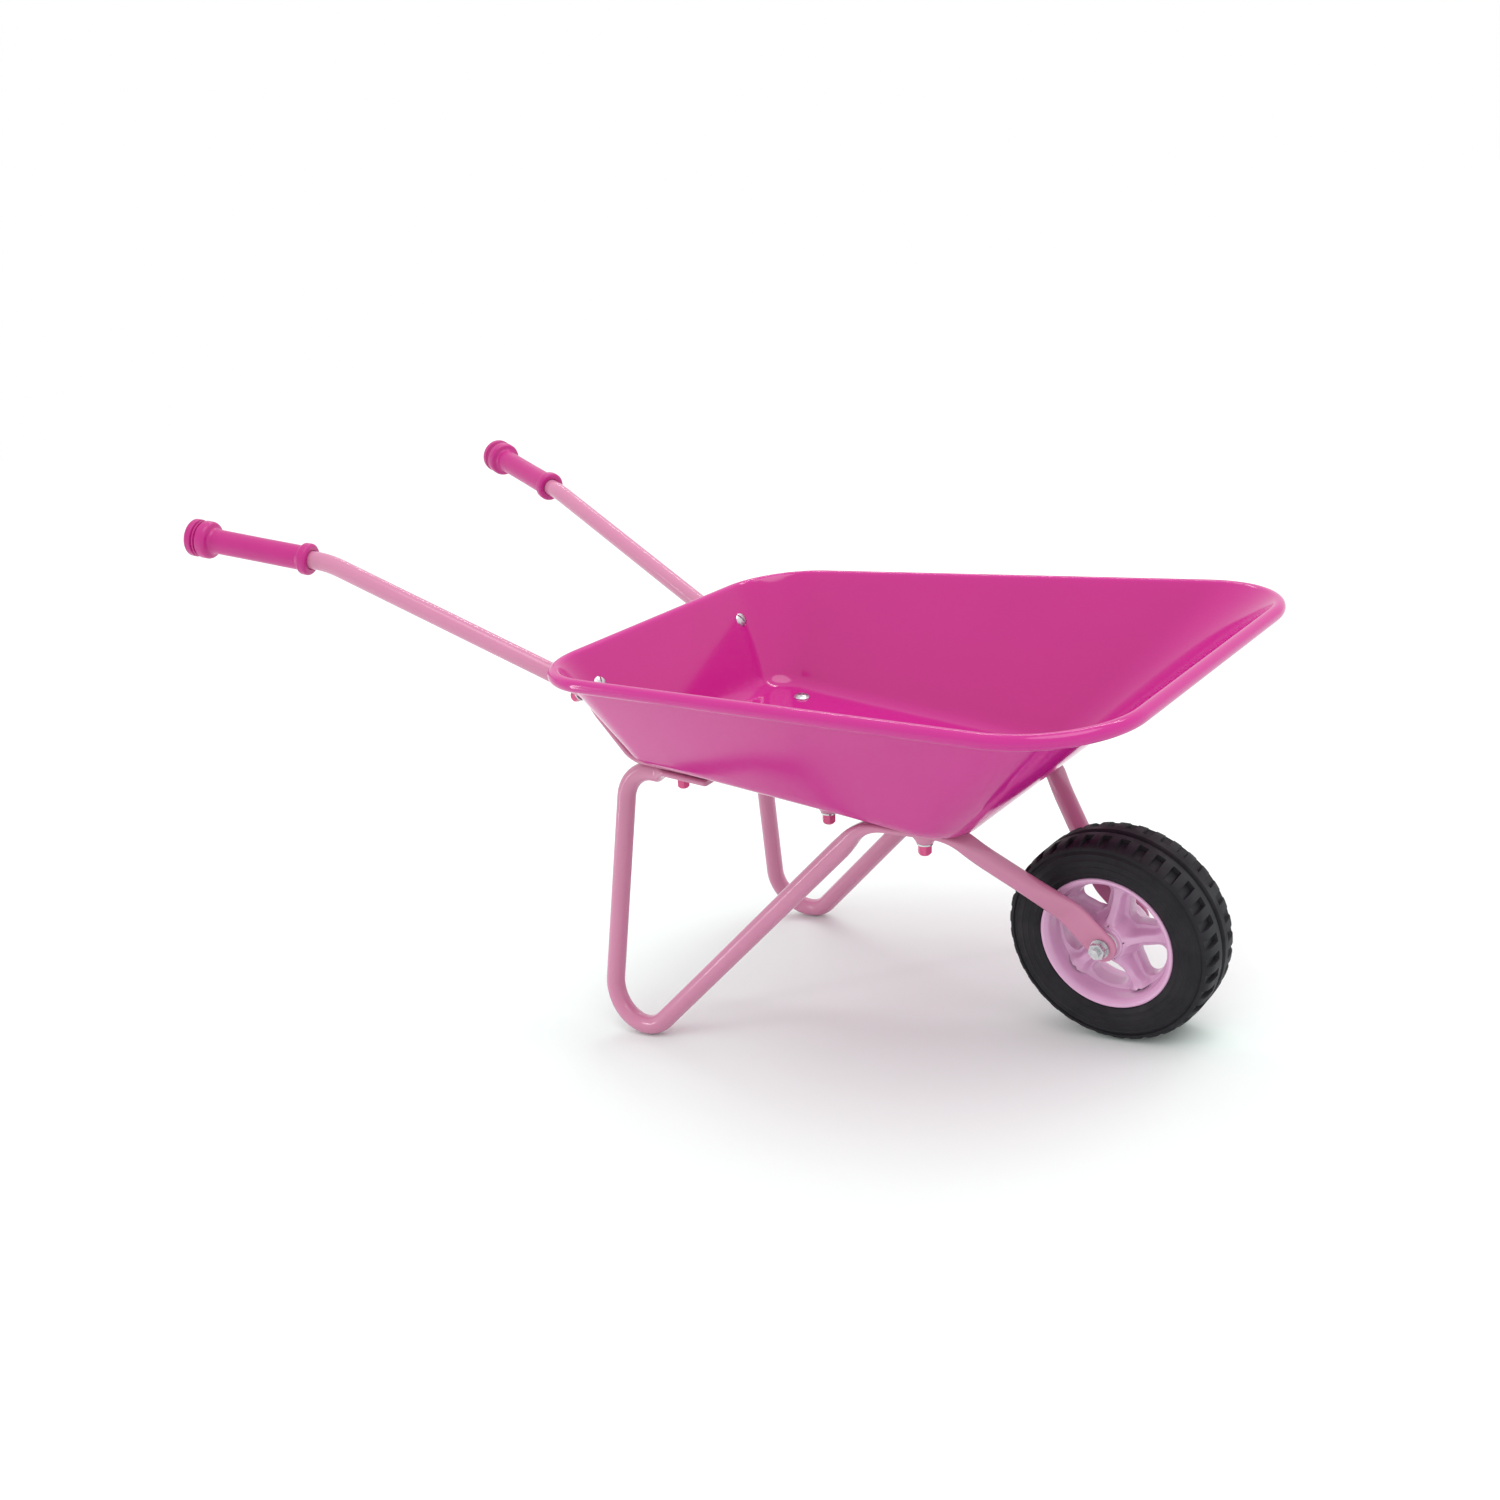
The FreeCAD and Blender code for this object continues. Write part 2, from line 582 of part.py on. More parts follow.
def tray_bolt(name, stack):
    """Slotted round-head bolt; Z = 0 at the free end, seat under the head."""
    reach = stack + size("washerThick") + size("capLength") - cap_end
    outline = [
        (0, 0), ("sizes.boltRadius - 0.5", 0), ("sizes.boltRadius", 0.6), ("sizes.boltRadius", reach),
        ("sizes.boltHeadRadius", reach), ("sizes.boltHeadRadius", reach + 0.7),
        ("sizes.boltHeadRadius - 1.3", reach + 1.9), ("sizes.boltHeadRadius - 3.2", reach + 2.6),
        (0, "sizes.boltHeadHeight + %.4f" % reach),
    ]
    body = turned_body(name, outline)
    top_plane = [o for o in body.Origin.OriginFeatures if o.Role == "XY_Plane"][0]
    slot = body.newObject("Sketcher::SketchObject", name + "_slot")
    slot.AttachmentSupport = [(top_plane, "")]
    slot.MapMode = "FlatFace"
    slot.AttachmentOffset = FreeCAD.Placement(V(0, 0, reach + 3.0), FreeCAD.Rotation())
    half_long = 7.0
    half_wide = 0.65
    corners = [V(-half_long, -half_wide, 0), V(half_long, -half_wide, 0),
               V(half_long, half_wide, 0), V(-half_long, half_wide, 0)]
    for index in range(4):
        slot.addGeometry(Part.LineSegment(corners[index], corners[(index + 1) % 4]), False)
    for index in range(4):
        slot.addConstraint(Sketcher.Constraint("Coincident", index, 2, (index + 1) % 4, 1))
    for index, kind in ((0, "Horizontal"), (2, "Horizontal"), (1, "Vertical"), (3, "Vertical")):
        slot.addConstraint(Sketcher.Constraint(kind, index))
    slot.addConstraint(Sketcher.Constraint("Symmetric", 0, 1, 2, 1, -1, 1))
    slot.addConstraint(Sketcher.Constraint("DistanceX", 0, 1, 0, 2, 2 * half_long))
    slot.addConstraint(Sketcher.Constraint("DistanceY", 1, 1, 1, 2, 2 * half_wide))
    pocket = body.newObject("PartDesign::Pocket", name + "_slot_cut")
    pocket.Profile = slot
    pocket.Length = 1.6
    body.Tip = pocket
    doc.recompute()
    return body, reach


def round_plate(name, outer, bore, thick):
    """Flat ring made of two bound cylinders."""
    disc = doc.addObject("Part::Cylinder", name + "_disc")
    disc.setExpression("Radius", outer)
    disc.setExpression("Height", thick)
    hole = doc.addObject("Part::Cylinder", name + "_hole")
    hole.setExpression("Radius", bore)
    hole.setExpression("Height", thick)
    ring = doc.addObject("Part::Cut", name)
    ring.Base = disc
    ring.Tool = hole
    doc.recompute()
    return ring


def hex_cap(name):
    """Closed hexagon cap nut with a blind bore and a chamfered end."""
    prism = doc.addObject("Part::Prism", name + "_hexagon")
    prism.Polygon = 6
    prism.setExpression("Circumradius", "sizes.capAcross / 1.7320508")
    prism.setExpression("Height", "sizes.capLength")
    cone = doc.addObject("Part::Cone", name + "_chamfer")
    cone.setExpression("Radius1", "sizes.capAcross + 1.2")
    cone.setExpression("Radius2", "sizes.capAcross / 2 - 0.7")
    cone.setExpression("Height", "sizes.capLength")
    trimmed = doc.addObject("Part::Common", name + "_trimmed")
    trimmed.Base = prism
    trimmed.Tool = cone
    bore = doc.addObject("Part::Cylinder", name + "_bore")
    bore.setExpression("Radius", "sizes.boltRadius + 0.02")
    bore.setExpression("Height", "sizes.capLength - 2")
    cap = doc.addObject("Part::Cut", name)
    cap.Base = trimmed
    cap.Tool = bore
    doc.recompute()
    return cap


for name, seat, axis, stack in stations:
    bolt, reach = tray_bolt(name + "_bolt", stack)
    point_along(bolt, seat - axis * reach, axis, 25.0)
    finish(both_sides(name + "_bolts", bolt), name + "_bolts")
    washer = round_plate(name + "_washer", "sizes.washerRadius", "sizes.boltHole", "sizes.washerThick")
    point_along(washer, seat - axis * (stack + size("washerThick")), axis)
    finish(both_sides(name + "_washers", washer), name + "_washers")
    cap = hex_cap(name + "_cap")
    point_along(cap, seat - axis * (stack + size("washerThick")), axis * -1.0, 12.0)
    finish(both_sides(name + "_cap_nuts", cap), name + "_cap_nuts")

# sleeves that hold the handle tubes off the rear wall
sleeve_from = wall_seat + wall_out * gauge
sleeve_radius = 5.4
sleeve_length = wall_inner_gap - 5.0
sleeve_ring = Part.makeCylinder(sleeve_radius, sleeve_length, sleeve_from, wall_out)
sleeve_ring = sleeve_ring.cut(Part.makeCylinder(size("boltHole"), sleeve_length, sleeve_from, wall_out))
sleeve_ring = sleeve_ring.cut(handle_left.Shape)
sleeve_solids = sorted(sleeve_ring.Solids, key=lambda s: s.Volume)
sleeve = solid_feature("rear_wall_sleeve", sleeve_solids[-1])
finish(both_sides("rear_wall_sleeves", sleeve), "rear_wall_sleeves")

# ---------------------------------------------------------------- wheel
axle_centre = V(size("axleX"), 0, size("tyreRadius"))
rim_low = "sizes.rimHalf - sizes.webHalf"
rim_high = "sizes.rimHalf + sizes.webHalf"
rim_outline = [
    ("sizes.hubBore", "sizes.rimHalf - sizes.hubHalf"),
    ("sizes.hubRadius - 1.0", "sizes.rimHalf - sizes.hubHalf"),
    ("sizes.hubRadius", "sizes.rimHalf - sizes.hubHalf + 1.0"),
    ("sizes.hubRadius + 1.5", rim_low), ("sizes.barrelInner - 1.5", rim_low),
    ("sizes.barrelInner", "sizes.rimHalf - sizes.webHalf - 2.0"), ("sizes.barrelInner + 1.6", 2.4),
    ("sizes.rimLipRadius - 1.8", 0), ("sizes.rimLipRadius - 0.6", 0), ("sizes.rimLipRadius", 0.7),
    ("sizes.rimLipRadius", 2.4), ("sizes.barrelOuter", 4.4),
    ("sizes.barrelOuter", "sizes.rimHalf + sizes.rimHalf - 4.4"),
    ("sizes.rimLipRadius", "sizes.rimHalf + sizes.rimHalf - 2.4"),
    ("sizes.rimLipRadius", "sizes.rimHalf + sizes.rimHalf - 0.7"),
    ("sizes.rimLipRadius - 0.6", "sizes.rimHalf + sizes.rimHalf"),
    ("sizes.rimLipRadius - 1.8", "sizes.rimHalf + sizes.rimHalf"),
    ("sizes.barrelInner + 1.6", "sizes.rimHalf + sizes.rimHalf - 2.4"),
    ("sizes.barrelInner", "sizes.rimHalf + sizes.webHalf + 2.0"),
    ("sizes.barrelInner - 1.5", rim_high), ("sizes.hubRadius + 1.5", rim_high),
    ("sizes.hubRadius", "sizes.rimHalf + sizes.hubHalf - 1.0"),
    ("sizes.hubRadius - 1.0", "sizes.rimHalf + sizes.hubHalf"),
    ("sizes.hubBore", "sizes.rimHalf + sizes.hubHalf"),
]
rim_body = turned_body("wheel_rim", rim_outline)
rim_face = [o for o in rim_body.Origin.OriginFeatures if o.Role == "XY_Plane"][0]


def pattern(body, feature, count, label):
    """Repeat a feature around the body's own Z axis."""
    ring = body.newObject("PartDesign::PolarPattern", label)
    ring.Originals = [feature]
    ring.Axis = (rim_axis_of(body), [""])
    ring.Angle = 360.0
    ring.Occurrences = count
    body.Tip = ring
    doc.recompute()
    return ring


def rim_axis_of(body):
    """Own Z axis of a body."""
    return [o for o in body.Origin.OriginFeatures if o.Role == "Z_Axis"][0]


def polygon_sketch(body, name, corners, height):
    """Sketch of a closed polygon, parallel to the body's XY plane."""
    sketch = body.newObject("Sketcher::SketchObject", name)
    plane = [o for o in body.Origin.OriginFeatures if o.Role == "XY_Plane"][0]
    sketch.AttachmentSupport = [(plane, "")]
    sketch.MapMode = "FlatFace"
    sketch.AttachmentOffset = FreeCAD.Placement(V(0, 0, height), FreeCAD.Rotation())
    count = len(corners)
    for index in range(count):
        first = corners[index]
        last = corners[(index + 1) % count]
        sketch.addGeometry(Part.LineSegment(V(first[0], first[1], 0), V(last[0], last[1], 0)), False)
    for index in range(count):
        sketch.addConstraint(Sketcher.Constraint("Coincident", index, 2, (index + 1) % count, 1))
    for index, corner in enumerate(corners):
        sketch.addConstraint(Sketcher.Constraint("DistanceX", -1, 1, index, 1, corner[0]))
        sketch.addConstraint(Sketcher.Constraint("DistanceY", -1, 1, index, 1, corner[1]))
    return sketch


half_spoke = size("spokeWide") / 2.0
window_angle = math.radians(36.0)
window = []
for radius, sweep in ((16.0, 14.0), (16.0, -14.0), (26.0, -25.0), (34.5, -27.5), (36.6, -22.0),
                      (37.2, -8.0), (37.2, 8.0), (36.6, 22.0), (34.5, 27.5), (26.0, 25.0)):
    turn = window_angle + math.radians(sweep)
    window.append((radius * math.cos(turn), radius * math.sin(turn)))
window_sketch = polygon_sketch(rim_body, "window_outline", window, size("rimHalf"))
window_cut = rim_body.newObject("PartDesign::Pocket", "window_cut")
window_cut.Profile = window_sketch
window_cut.Midplane = True
window_cut.Length = 2 * size("webHalf") + 2.0
doc.recompute()
pattern(rim_body, window_cut, 5, "windows")
spoke = [(9.0, -half_spoke), (39.6, -half_spoke * 0.8), (39.6, half_spoke * 0.8), (9.0, half_spoke)]
spoke_sketch = polygon_sketch(rim_body, "spoke_outline", spoke, size("rimHalf"))
spoke_pad = rim_body.newObject("PartDesign::Pad", "spoke_pad")
spoke_pad.Profile = spoke_sketch
spoke_pad.Midplane = True
spoke_pad.setExpression("Length", "sizes.spokeHalf * 2")
doc.recompute()
pattern(rim_body, spoke_pad, 5, "spokes")
rim_bore = rim_body.newObject("Sketcher::SketchObject", "bore_outline")
rim_bore.AttachmentSupport = [(rim_face, "")]
rim_bore.MapMode = "FlatFace"
rim_bore.addGeometry(Part.Circle(V(0, 0, 0), V(0, 0, 1), size("hubBore")), False)
rim_bore.addConstraint(Sketcher.Constraint("Coincident", 0, 3, -1, 1))
bore_size = rim_bore.addConstraint(Sketcher.Constraint("Radius", 0, size("hubBore")))
rim_bore.setExpression("Constraints[%d]" % bore_size, "sizes.hubBore")
bore_cut = rim_body.newObject("PartDesign::Pocket", "bore_cut")
bore_cut.Profile = rim_bore
bore_cut.Type = "ThroughAll"
bore_cut.Reversed = True
rim_body.Tip = bore_cut
first_spoke = 4.0
lay_down = FreeCAD.Rotation(V(1, 0, 0), -90.0)
wheel_turn = lay_down.multiply(FreeCAD.Rotation(V(0, 0, 1), -first_spoke))
rim_body.Placement = FreeCAD.Placement(axle_centre - V(0, size("rimHalf"), 0), wheel_turn)
finish(rim_body, "wheel_rim")

tyre_outline = [
    ("sizes.barrelOuter + 0.02", 6.2), ("sizes.barrelOuter + 3.4", 4.6),
    ("sizes.rimLipRadius + 0.5", 1.5), (49.5, 0.3), (60.0, 0), (65.4, 1.2), (68.2, 4.0),
    (69.4, 8.0), ("sizes.tyreRadius", 13.0), ("sizes.tyreRadius", 20.6), (67.8, 21.6), (67.8, 24.4),
    ("sizes.tyreRadius", 25.4), ("sizes.tyreRadius", 33.0), (69.4, 38.0), (68.2, 42.0), (65.4, 44.8),
    (60.0, 46.0), (49.5, 45.7), ("sizes.rimLipRadius + 0.5", 44.5),
    ("sizes.barrelOuter + 3.4", 41.4), ("sizes.barrelOuter + 0.02", 39.8),
]
tyre = turned_body("tyre", tyre_outline)
pitch = 360.0 / size("lugPitches")
for label, height, lead, backward in (("left_gap", 0.0, 0.5, False), ("right_gap", 46.0, 0.0, True)):
    turn = math.radians(-90.0 + pitch * lead)
    gap = []
    for radial, sideways in ((66.6, -2.7), (73.0, -2.9), (73.0, 2.9), (66.6, 2.7)):
        gap.append((radial * math.cos(turn) - sideways * math.sin(turn),
                    radial * math.sin(turn) + sideways * math.cos(turn)))
    gap_sketch = polygon_sketch(tyre, label + "_outline", gap, height)
    gap_cut = tyre.newObject("PartDesign::Pocket", label + "_cut")
    gap_cut.Profile = gap_sketch
    gap_cut.Length = 15.0
    gap_cut.Reversed = not backward
    doc.recompute()
    pattern(tyre, gap_cut, int(size("lugPitches")), label + "s")
tyre.Placement = FreeCAD.Placement(axle_centre - V(0, size("tyreHalf"), 0), wheel_turn)
finish(tyre, "tyre")

bush_outline = [
    ("sizes.bushBore", 0), ("sizes.hubBore + 2.4", 0), ("sizes.hubBore + 2.4", 1.0),
    ("sizes.hubBore - 0.02", 1.0), ("sizes.hubBore - 0.02", 13.0), ("sizes.bushBore", 13.0),
]
bush = turned_body("hub_bush", bush_outline)
point_along(bush, axle_centre + V(0, size("hubHalf") + 1.0, 0), V(0, -1, 0))
finish(both_sides("hub_bushes", bush), "hub_bushes")

# ---------------------------------------------------------------- axle set (fixed to the fork)
fork_outer = size("forkEyeInner") + size("forkEyeThick")
for side_name, sense in (("left", 1.0), ("right", -1.0)):
    spacer = round_plate("hub_spacer_" + side_name, "sizes.hubBore + 2.0", "sizes.axleRadius + 0.05",
                         "sizes.forkEyeInner - sizes.hubHalf - 1.3")
    point_along(spacer, axle_centre + V(0, sense * size("forkEyeInner"), 0), V(0, -sense, 0))
    finish(spacer, "hub_spacer_" + side_name)
    washer = round_plate("axle_washer_" + side_name, "sizes.axleWasherRadius",
                         "sizes.axleRadius + 0.05", "sizes.axleWasherThick")
    point_along(washer, axle_centre + V(0, sense * fork_outer, 0), V(0, sense, 0))
    finish(washer, "axle_washer_" + side_name)


def hexagon(name, height):
    """Hexagon prism for the axle bolt head and nut."""
    prism = doc.addObject("Part::Prism", name)
    prism.Polygon = 6
    prism.setExpression("Circumradius", "sizes.nutAcross / 1.7320508")
    prism.setExpression("Height", height)
    return prism


stack_out = fork_outer + size("axleWasherThick")
shank = doc.addObject("Part::Cylinder", "axle_shank")
shank.setExpression("Radius", "sizes.axleRadius")
shank.setExpression("Height", "(sizes.forkEyeInner + sizes.forkEyeThick + sizes.axleWasherThick) * 2"
                    " + sizes.nutHeight + 3")
axle_head = hexagon("axle_head", "sizes.axleHeadHeight")
axle_head.Placement = FreeCAD.Placement(V(0, 0, -size("axleHeadHeight")), FreeCAD.Rotation())
axle_bolt = doc.addObject("Part::Fuse", "axle_bolt")
axle_bolt.Base = shank
axle_bolt.Tool = axle_head
point_along(axle_bolt, axle_centre + V(0, stack_out, 0), V(0, -1, 0))
finish(axle_bolt, "axle_bolt")
nut_bore = doc.addObject("Part::Cylinder", "axle_nut_bore")
nut_bore.setExpression("Radius", "sizes.axleRadius + 0.02")
nut_bore.setExpression("Height", "sizes.nutHeight")
axle_nut = doc.addObject("Part::Cut", "axle_nut")
axle_nut.Base = hexagon("axle_nut_body", "sizes.nutHeight")
axle_nut.Tool = nut_bore
point_along(axle_nut, axle_centre - V(0, stack_out, 0), V(0, -1, 0), 8.0)
finish(axle_nut, "axle_nut")
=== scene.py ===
import bmesh
import bpy
import json
import math
from mathutils import Matrix, Vector


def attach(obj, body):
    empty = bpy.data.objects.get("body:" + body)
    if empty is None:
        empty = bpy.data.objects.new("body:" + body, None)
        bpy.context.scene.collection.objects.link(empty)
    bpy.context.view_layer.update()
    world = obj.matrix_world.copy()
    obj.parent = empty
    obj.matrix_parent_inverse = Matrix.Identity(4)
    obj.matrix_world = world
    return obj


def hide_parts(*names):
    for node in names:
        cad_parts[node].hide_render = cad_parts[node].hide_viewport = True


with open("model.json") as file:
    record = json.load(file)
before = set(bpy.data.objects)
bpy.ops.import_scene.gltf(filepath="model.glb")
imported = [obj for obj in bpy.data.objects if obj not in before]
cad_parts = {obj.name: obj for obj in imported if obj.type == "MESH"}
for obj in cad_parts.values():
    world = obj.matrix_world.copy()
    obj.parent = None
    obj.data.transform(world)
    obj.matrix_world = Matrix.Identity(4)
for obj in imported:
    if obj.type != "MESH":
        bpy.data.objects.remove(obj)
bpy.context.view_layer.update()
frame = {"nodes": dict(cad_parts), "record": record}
nodes = frame["nodes"]
MM = 0.001

# ------------------------------------------------------------------ driving dimensions
# The part's own sizes in millimetres. X points to the wheel, Y to the left and Z up.
GAUGE = 1.0
FLOOR_REAR, FLOOR_REAR_HALF, FLOOR_REAR_CORNER = -20.0, 87.0, 12.0
FLOOR_FRONT, FLOOR_FRONT_HALF, FLOOR_FRONT_CORNER = 220.0, 80.0, 18.0
FLOOR_HEIGHT, FLOOR_FALL, PAN_FILLET = 204.8, 0.197, 16.0
RIM_REAR, RIM_REAR_HALF, RIM_REAR_CORNER = (-59.6, 287.4), 144.4, 57.0
RIM_FRONT, RIM_FRONT_HALF, RIM_FRONT_CORNER = (366.8, 251.6), 167.2, 63.0
BEAD, BEAD_INSET, BEAD_INSET_REAR = 4.7, 3.3, 2.0
BEAD_DROP_REAR, BEAD_DROP_FRONT = 1.0, 0.6
TUBE, FLAT_THICK, FLAT_WIDE = 7.0, 5.2, 20.4
TAB_HALF_THICK, TAB_LIFT = 2.5, -4.6
SEAT_HALF_WIDE, SEAT_LIFT, SEAT_DROP = 9.8, 2.1, 4.7
EYE_HALF_THICK, EYE_HALF_WIDE = 2.2, 9.9
GRIP_END = Vector((-366.6, 165.8, 411.0))
GRIP_COLLAR = Vector((-280.5, 135.8, 382.3))
WALL_BOLT = Vector((-62.5, 84.2, 260.7))
AXLE = Vector((284.0, 0.0, 70.0))
EYE_Y = 25.5
MIDDLE_BOLT = (121.0, 66.0)
FRONT_BOLT = (197.0, 71.8)
CONE_DROP, CONE_WIDE, CONE_NARROW = 6.0, 9.0, 5.6
TRIM_GAP, AXIS_GAP = 0.05, 0.01
ARC_STEPS = 24


# ------------------------------------------------------------------ small helpers
def close_mesh(mesh, weld=0.0):
    """Turns every face outwards, after joining vertices that lie closer than weld metres."""
    shape = bmesh.new()
    shape.from_mesh(mesh)
    if weld:
        bmesh.ops.remove_doubles(shape, verts=shape.verts, dist=weld)
    bmesh.ops.recalc_face_normals(shape, faces=shape.faces)
    shape.to_mesh(mesh)
    shape.free()


def new_object(name, verts, faces, material, body, node):
    """Smooth mesh piece in millimetres that rides on a body and stands for a CAD node."""
    mesh = bpy.data.meshes.new(name)
    mesh.from_pydata([Vector(v) * MM for v in verts], [], faces)
    mesh.validate()
    close_mesh(mesh)
    for face in mesh.polygons:
        face.use_smooth = True
    obj = bpy.data.objects.new(name, mesh)
    bpy.context.scene.collection.objects.link(obj)
    mesh.materials.append(material)
    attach(obj, body)
    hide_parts(node)
    return obj


def bridge(first, second, count, faces):
    """Quads between two rings of vertex numbers that start at first and second."""
    for i in range(count):
        j = (i + 1) % count
        faces.append((first + i, first + j, second + j, second + i))


def loft(rings):
    """Vertices and faces of a skin through closed rings, capped at both ends."""
    count = len(rings[0])
    verts = [p for ring in rings for p in ring]
    faces = []
    for k in range(len(rings) - 1):
        bridge(k * count, (k + 1) * count, count, faces)
    faces.append(tuple(reversed(range(count))))
    faces.append(tuple(range((len(rings) - 1) * count, len(rings) * count)))
    return verts, faces


def join(parts):
    """Several (verts, faces) lists as one."""
    verts, faces = [], []
    for part_verts, part_faces in parts:
        base = len(verts)
        verts.extend(part_verts)
        faces.extend(tuple(base + i for i in face) for face in part_faces)
    return verts, faces


def mirror(part):
    """Right-hand twin of a left-hand (verts, faces)."""
    verts, faces = part
    return [Vector((v[0], -v[1], v[2])) for v in verts], [tuple(reversed(f)) for f in faces]


def lathe(profile, centre, axis, segments):
    """Turned solid. profile is (radius, distance along the axis) pairs."""
    axis = axis.normalized()
    side = axis.orthogonal().normalized()
    other = axis.cross(side)
    rings = []
    for radius, along in profile:
        turns = [2 * math.pi * i / segments for i in range(segments)]
        rings.append([centre + axis * along + (side * math.cos(a) + other * math.sin(a)) * radius
                      for a in turns])
    return loft(rings)


# A rounded corner takes at most this share of each side next to it.
MOST_OF_HALF = 0.49


def rounded(points, radii, steps):
    """2-D polyline whose corners between the two ends are rounded, one radius each."""
    result = [points[0]]
    for k in range(1, len(points) - 1):
        corner = Vector(points[k])
        before, after = Vector(points[k - 1]) - corner, Vector(points[k + 1]) - corner
        half = before.angle(after) / 2
        reach = min(radii[k - 1] / math.tan(half), before.length * MOST_OF_HALF,
                    after.length * MOST_OF_HALF)
        start, end = corner + before.normalized() * reach, corner + after.normalized() * reach
        for i in range(steps + 1):
            t = i / steps
            result.append(tuple(start * (1 - t) ** 2 + corner * 2 * t * (1 - t) + end * t ** 2))
    result.append(points[-1])
    return result


def corner_arc(before, corner, after, radius, steps):
    """Points on the arc that rounds one corner."""
    back, ahead = (before - corner).normalized(), (after - corner).normalized()
    half = back.angle(ahead) / 2
    middle = (back + ahead).normalized()
    centre = corner + middle * (radius / math.sin(half))
    start = corner + back * (radius / math.tan(half))
    end = corner + ahead * (radius / math.tan(half))
    first, last = (start - centre).normalized(), (end - centre).normalized()
    turn = first.angle(last)
    points = []
    for i in range(steps + 1):
        t = i / steps
        blend = first * math.sin((1 - t) * turn) + last * math.sin(t * turn)
        points.append(centre + blend / math.sin(turn) * radius)
    return points


def smooth_step(t):
    """Smooth rise from 0 to 1 while t goes from 0 to 1."""
    t = min(max(t, 0.0), 1.0)
    return t * t * (3 - 2 * t)


def rise(value, start, run):
    """Smooth rise from 0 at start to 1 at start + run."""
    return smooth_step((value - start) / run)


def fall(value, end, run):
    """Smooth fall from 1 at end - run to 0 at end."""
    return smooth_step((end - value) / run)


# ------------------------------------------------------------------ materials
def shader(name, colour, roughness, **extra):
    """Principled material; extra sets its other sockets."""
    material = bpy.data.materials.new(name)
    material.use_nodes = True
    tree = material.node_tree
    bsdf = tree.nodes["Principled BSDF"]
    bsdf.inputs["Base Color"].default_value = (*colour, 1)
    bsdf.inputs["Roughness"].default_value = roughness
    for key, value in extra.items():
        bsdf.inputs[key.replace("_", " ")].default_value = value
    return material, tree, bsdf


NOISE_ROUGHNESS, NOISE_LOW, NOISE_HIGH = 0.55, 0.3, 0.7
FINE_DEPTH, SKIN_DEPTH = 0.0001, 0.0002


def noise(tree, scale, detail=3.0):
    """Noise in object space."""
    where = tree.nodes.new("ShaderNodeTexCoord")
    texture = tree.nodes.new("ShaderNodeTexNoise")
    texture.inputs["Scale"].default_value = scale
    texture.inputs["Detail"].default_value = detail
    texture.inputs["Roughness"].default_value = NOISE_ROUGHNESS
    tree.links.new(where.outputs["Object"], texture.inputs["Vector"])
    return texture.outputs["Fac"]


def spread(tree, value, low, high):
    """Value in the middle range of the noise mapped to low..high."""
    ramp = tree.nodes.new("ShaderNodeMapRange")
    ramp.inputs["From Min"].default_value = NOISE_LOW
    ramp.inputs["From Max"].default_value = NOISE_HIGH
    ramp.inputs["To Min"].default_value = low
    ramp.inputs["To Max"].default_value = high
    tree.links.new(value, ramp.inputs["Value"])
    return ramp.outputs["Result"]


def tint(tree, value, dark, light):
    """Colour that drifts between two tones."""
    mix = tree.nodes.new("ShaderNodeMix")
    mix.data_type = "RGBA"
    mix.inputs["A"].default_value = (*dark, 1)
    mix.inputs["B"].default_value = (*light, 1)
    tree.links.new(spread(tree, value, 0.0, 1.0), mix.inputs["Factor"])
    return mix.outputs["Result"]


def bump(tree, value, strength, depth):
    """Bump node fed by a height value; depth in metres."""
    node = tree.nodes.new("ShaderNodeBump")
    node.inputs["Strength"].default_value = strength
    node.inputs["Distance"].default_value = depth
    tree.links.new(value, node.inputs["Height"])
    return node.outputs["Normal"]


def tone_pair(colour, drift):
    """A darker and a lighter tone of one colour."""
    return tuple(c * (1 - drift) for c in colour), tuple(min(1.0, c * (1 + drift)) for c in colour)


def enamel(name, colour, roughness, drift=0.02, peel=0.05):
    """Sprayed gloss paint: slight tone drift and an orange-peel bump."""
    material, tree, bsdf = shader(name, colour, roughness, Specular_IOR_Level=0.5)
    tree.links.new(tint(tree, noise(tree, 9.0), *tone_pair(colour, drift)),
                   bsdf.inputs["Base Color"])
    tree.links.new(spread(tree, noise(tree, 55.0), roughness * 0.9, roughness * 1.1),
                   bsdf.inputs["Roughness"])
    tree.links.new(bump(tree, noise(tree, 420.0, 2.0), peel, FINE_DEPTH), bsdf.inputs["Normal"])
    return material


def plastic(name, colour, roughness, drift=0.03, grain=0.12):
    """Moulded plastic: satin gloss with a fine moulded grain."""
    material, tree, bsdf = shader(name, colour, roughness, Specular_IOR_Level=0.5)
    tree.links.new(tint(tree, noise(tree, 26.0), *tone_pair(colour, drift)),
                   bsdf.inputs["Base Color"])
    tree.links.new(spread(tree, noise(tree, 90.0), roughness * 0.85, roughness * 1.2),
                   bsdf.inputs["Roughness"])
    tree.links.new(bump(tree, noise(tree, 1500.0, 2.0), grain, FINE_DEPTH), bsdf.inputs["Normal"])
    return material


def zinc(name):
    """Bright zinc-plated steel with faint turning marks and clouding."""
    material, tree, bsdf = shader(name, (0.62, 0.62, 0.64), 0.24, Metallic=1.0)
    tree.links.new(tint(tree, noise(tree, 240.0), (0.50, 0.51, 0.54), (0.74, 0.74, 0.74)),
                   bsdf.inputs["Base Color"])
    tree.links.new(spread(tree, noise(tree, 600.0), 0.16, 0.38), bsdf.inputs["Roughness"])
    tree.links.new(bump(tree, noise(tree, 1800.0), 0.15, FINE_DEPTH), bsdf.inputs["Normal"])
    return material


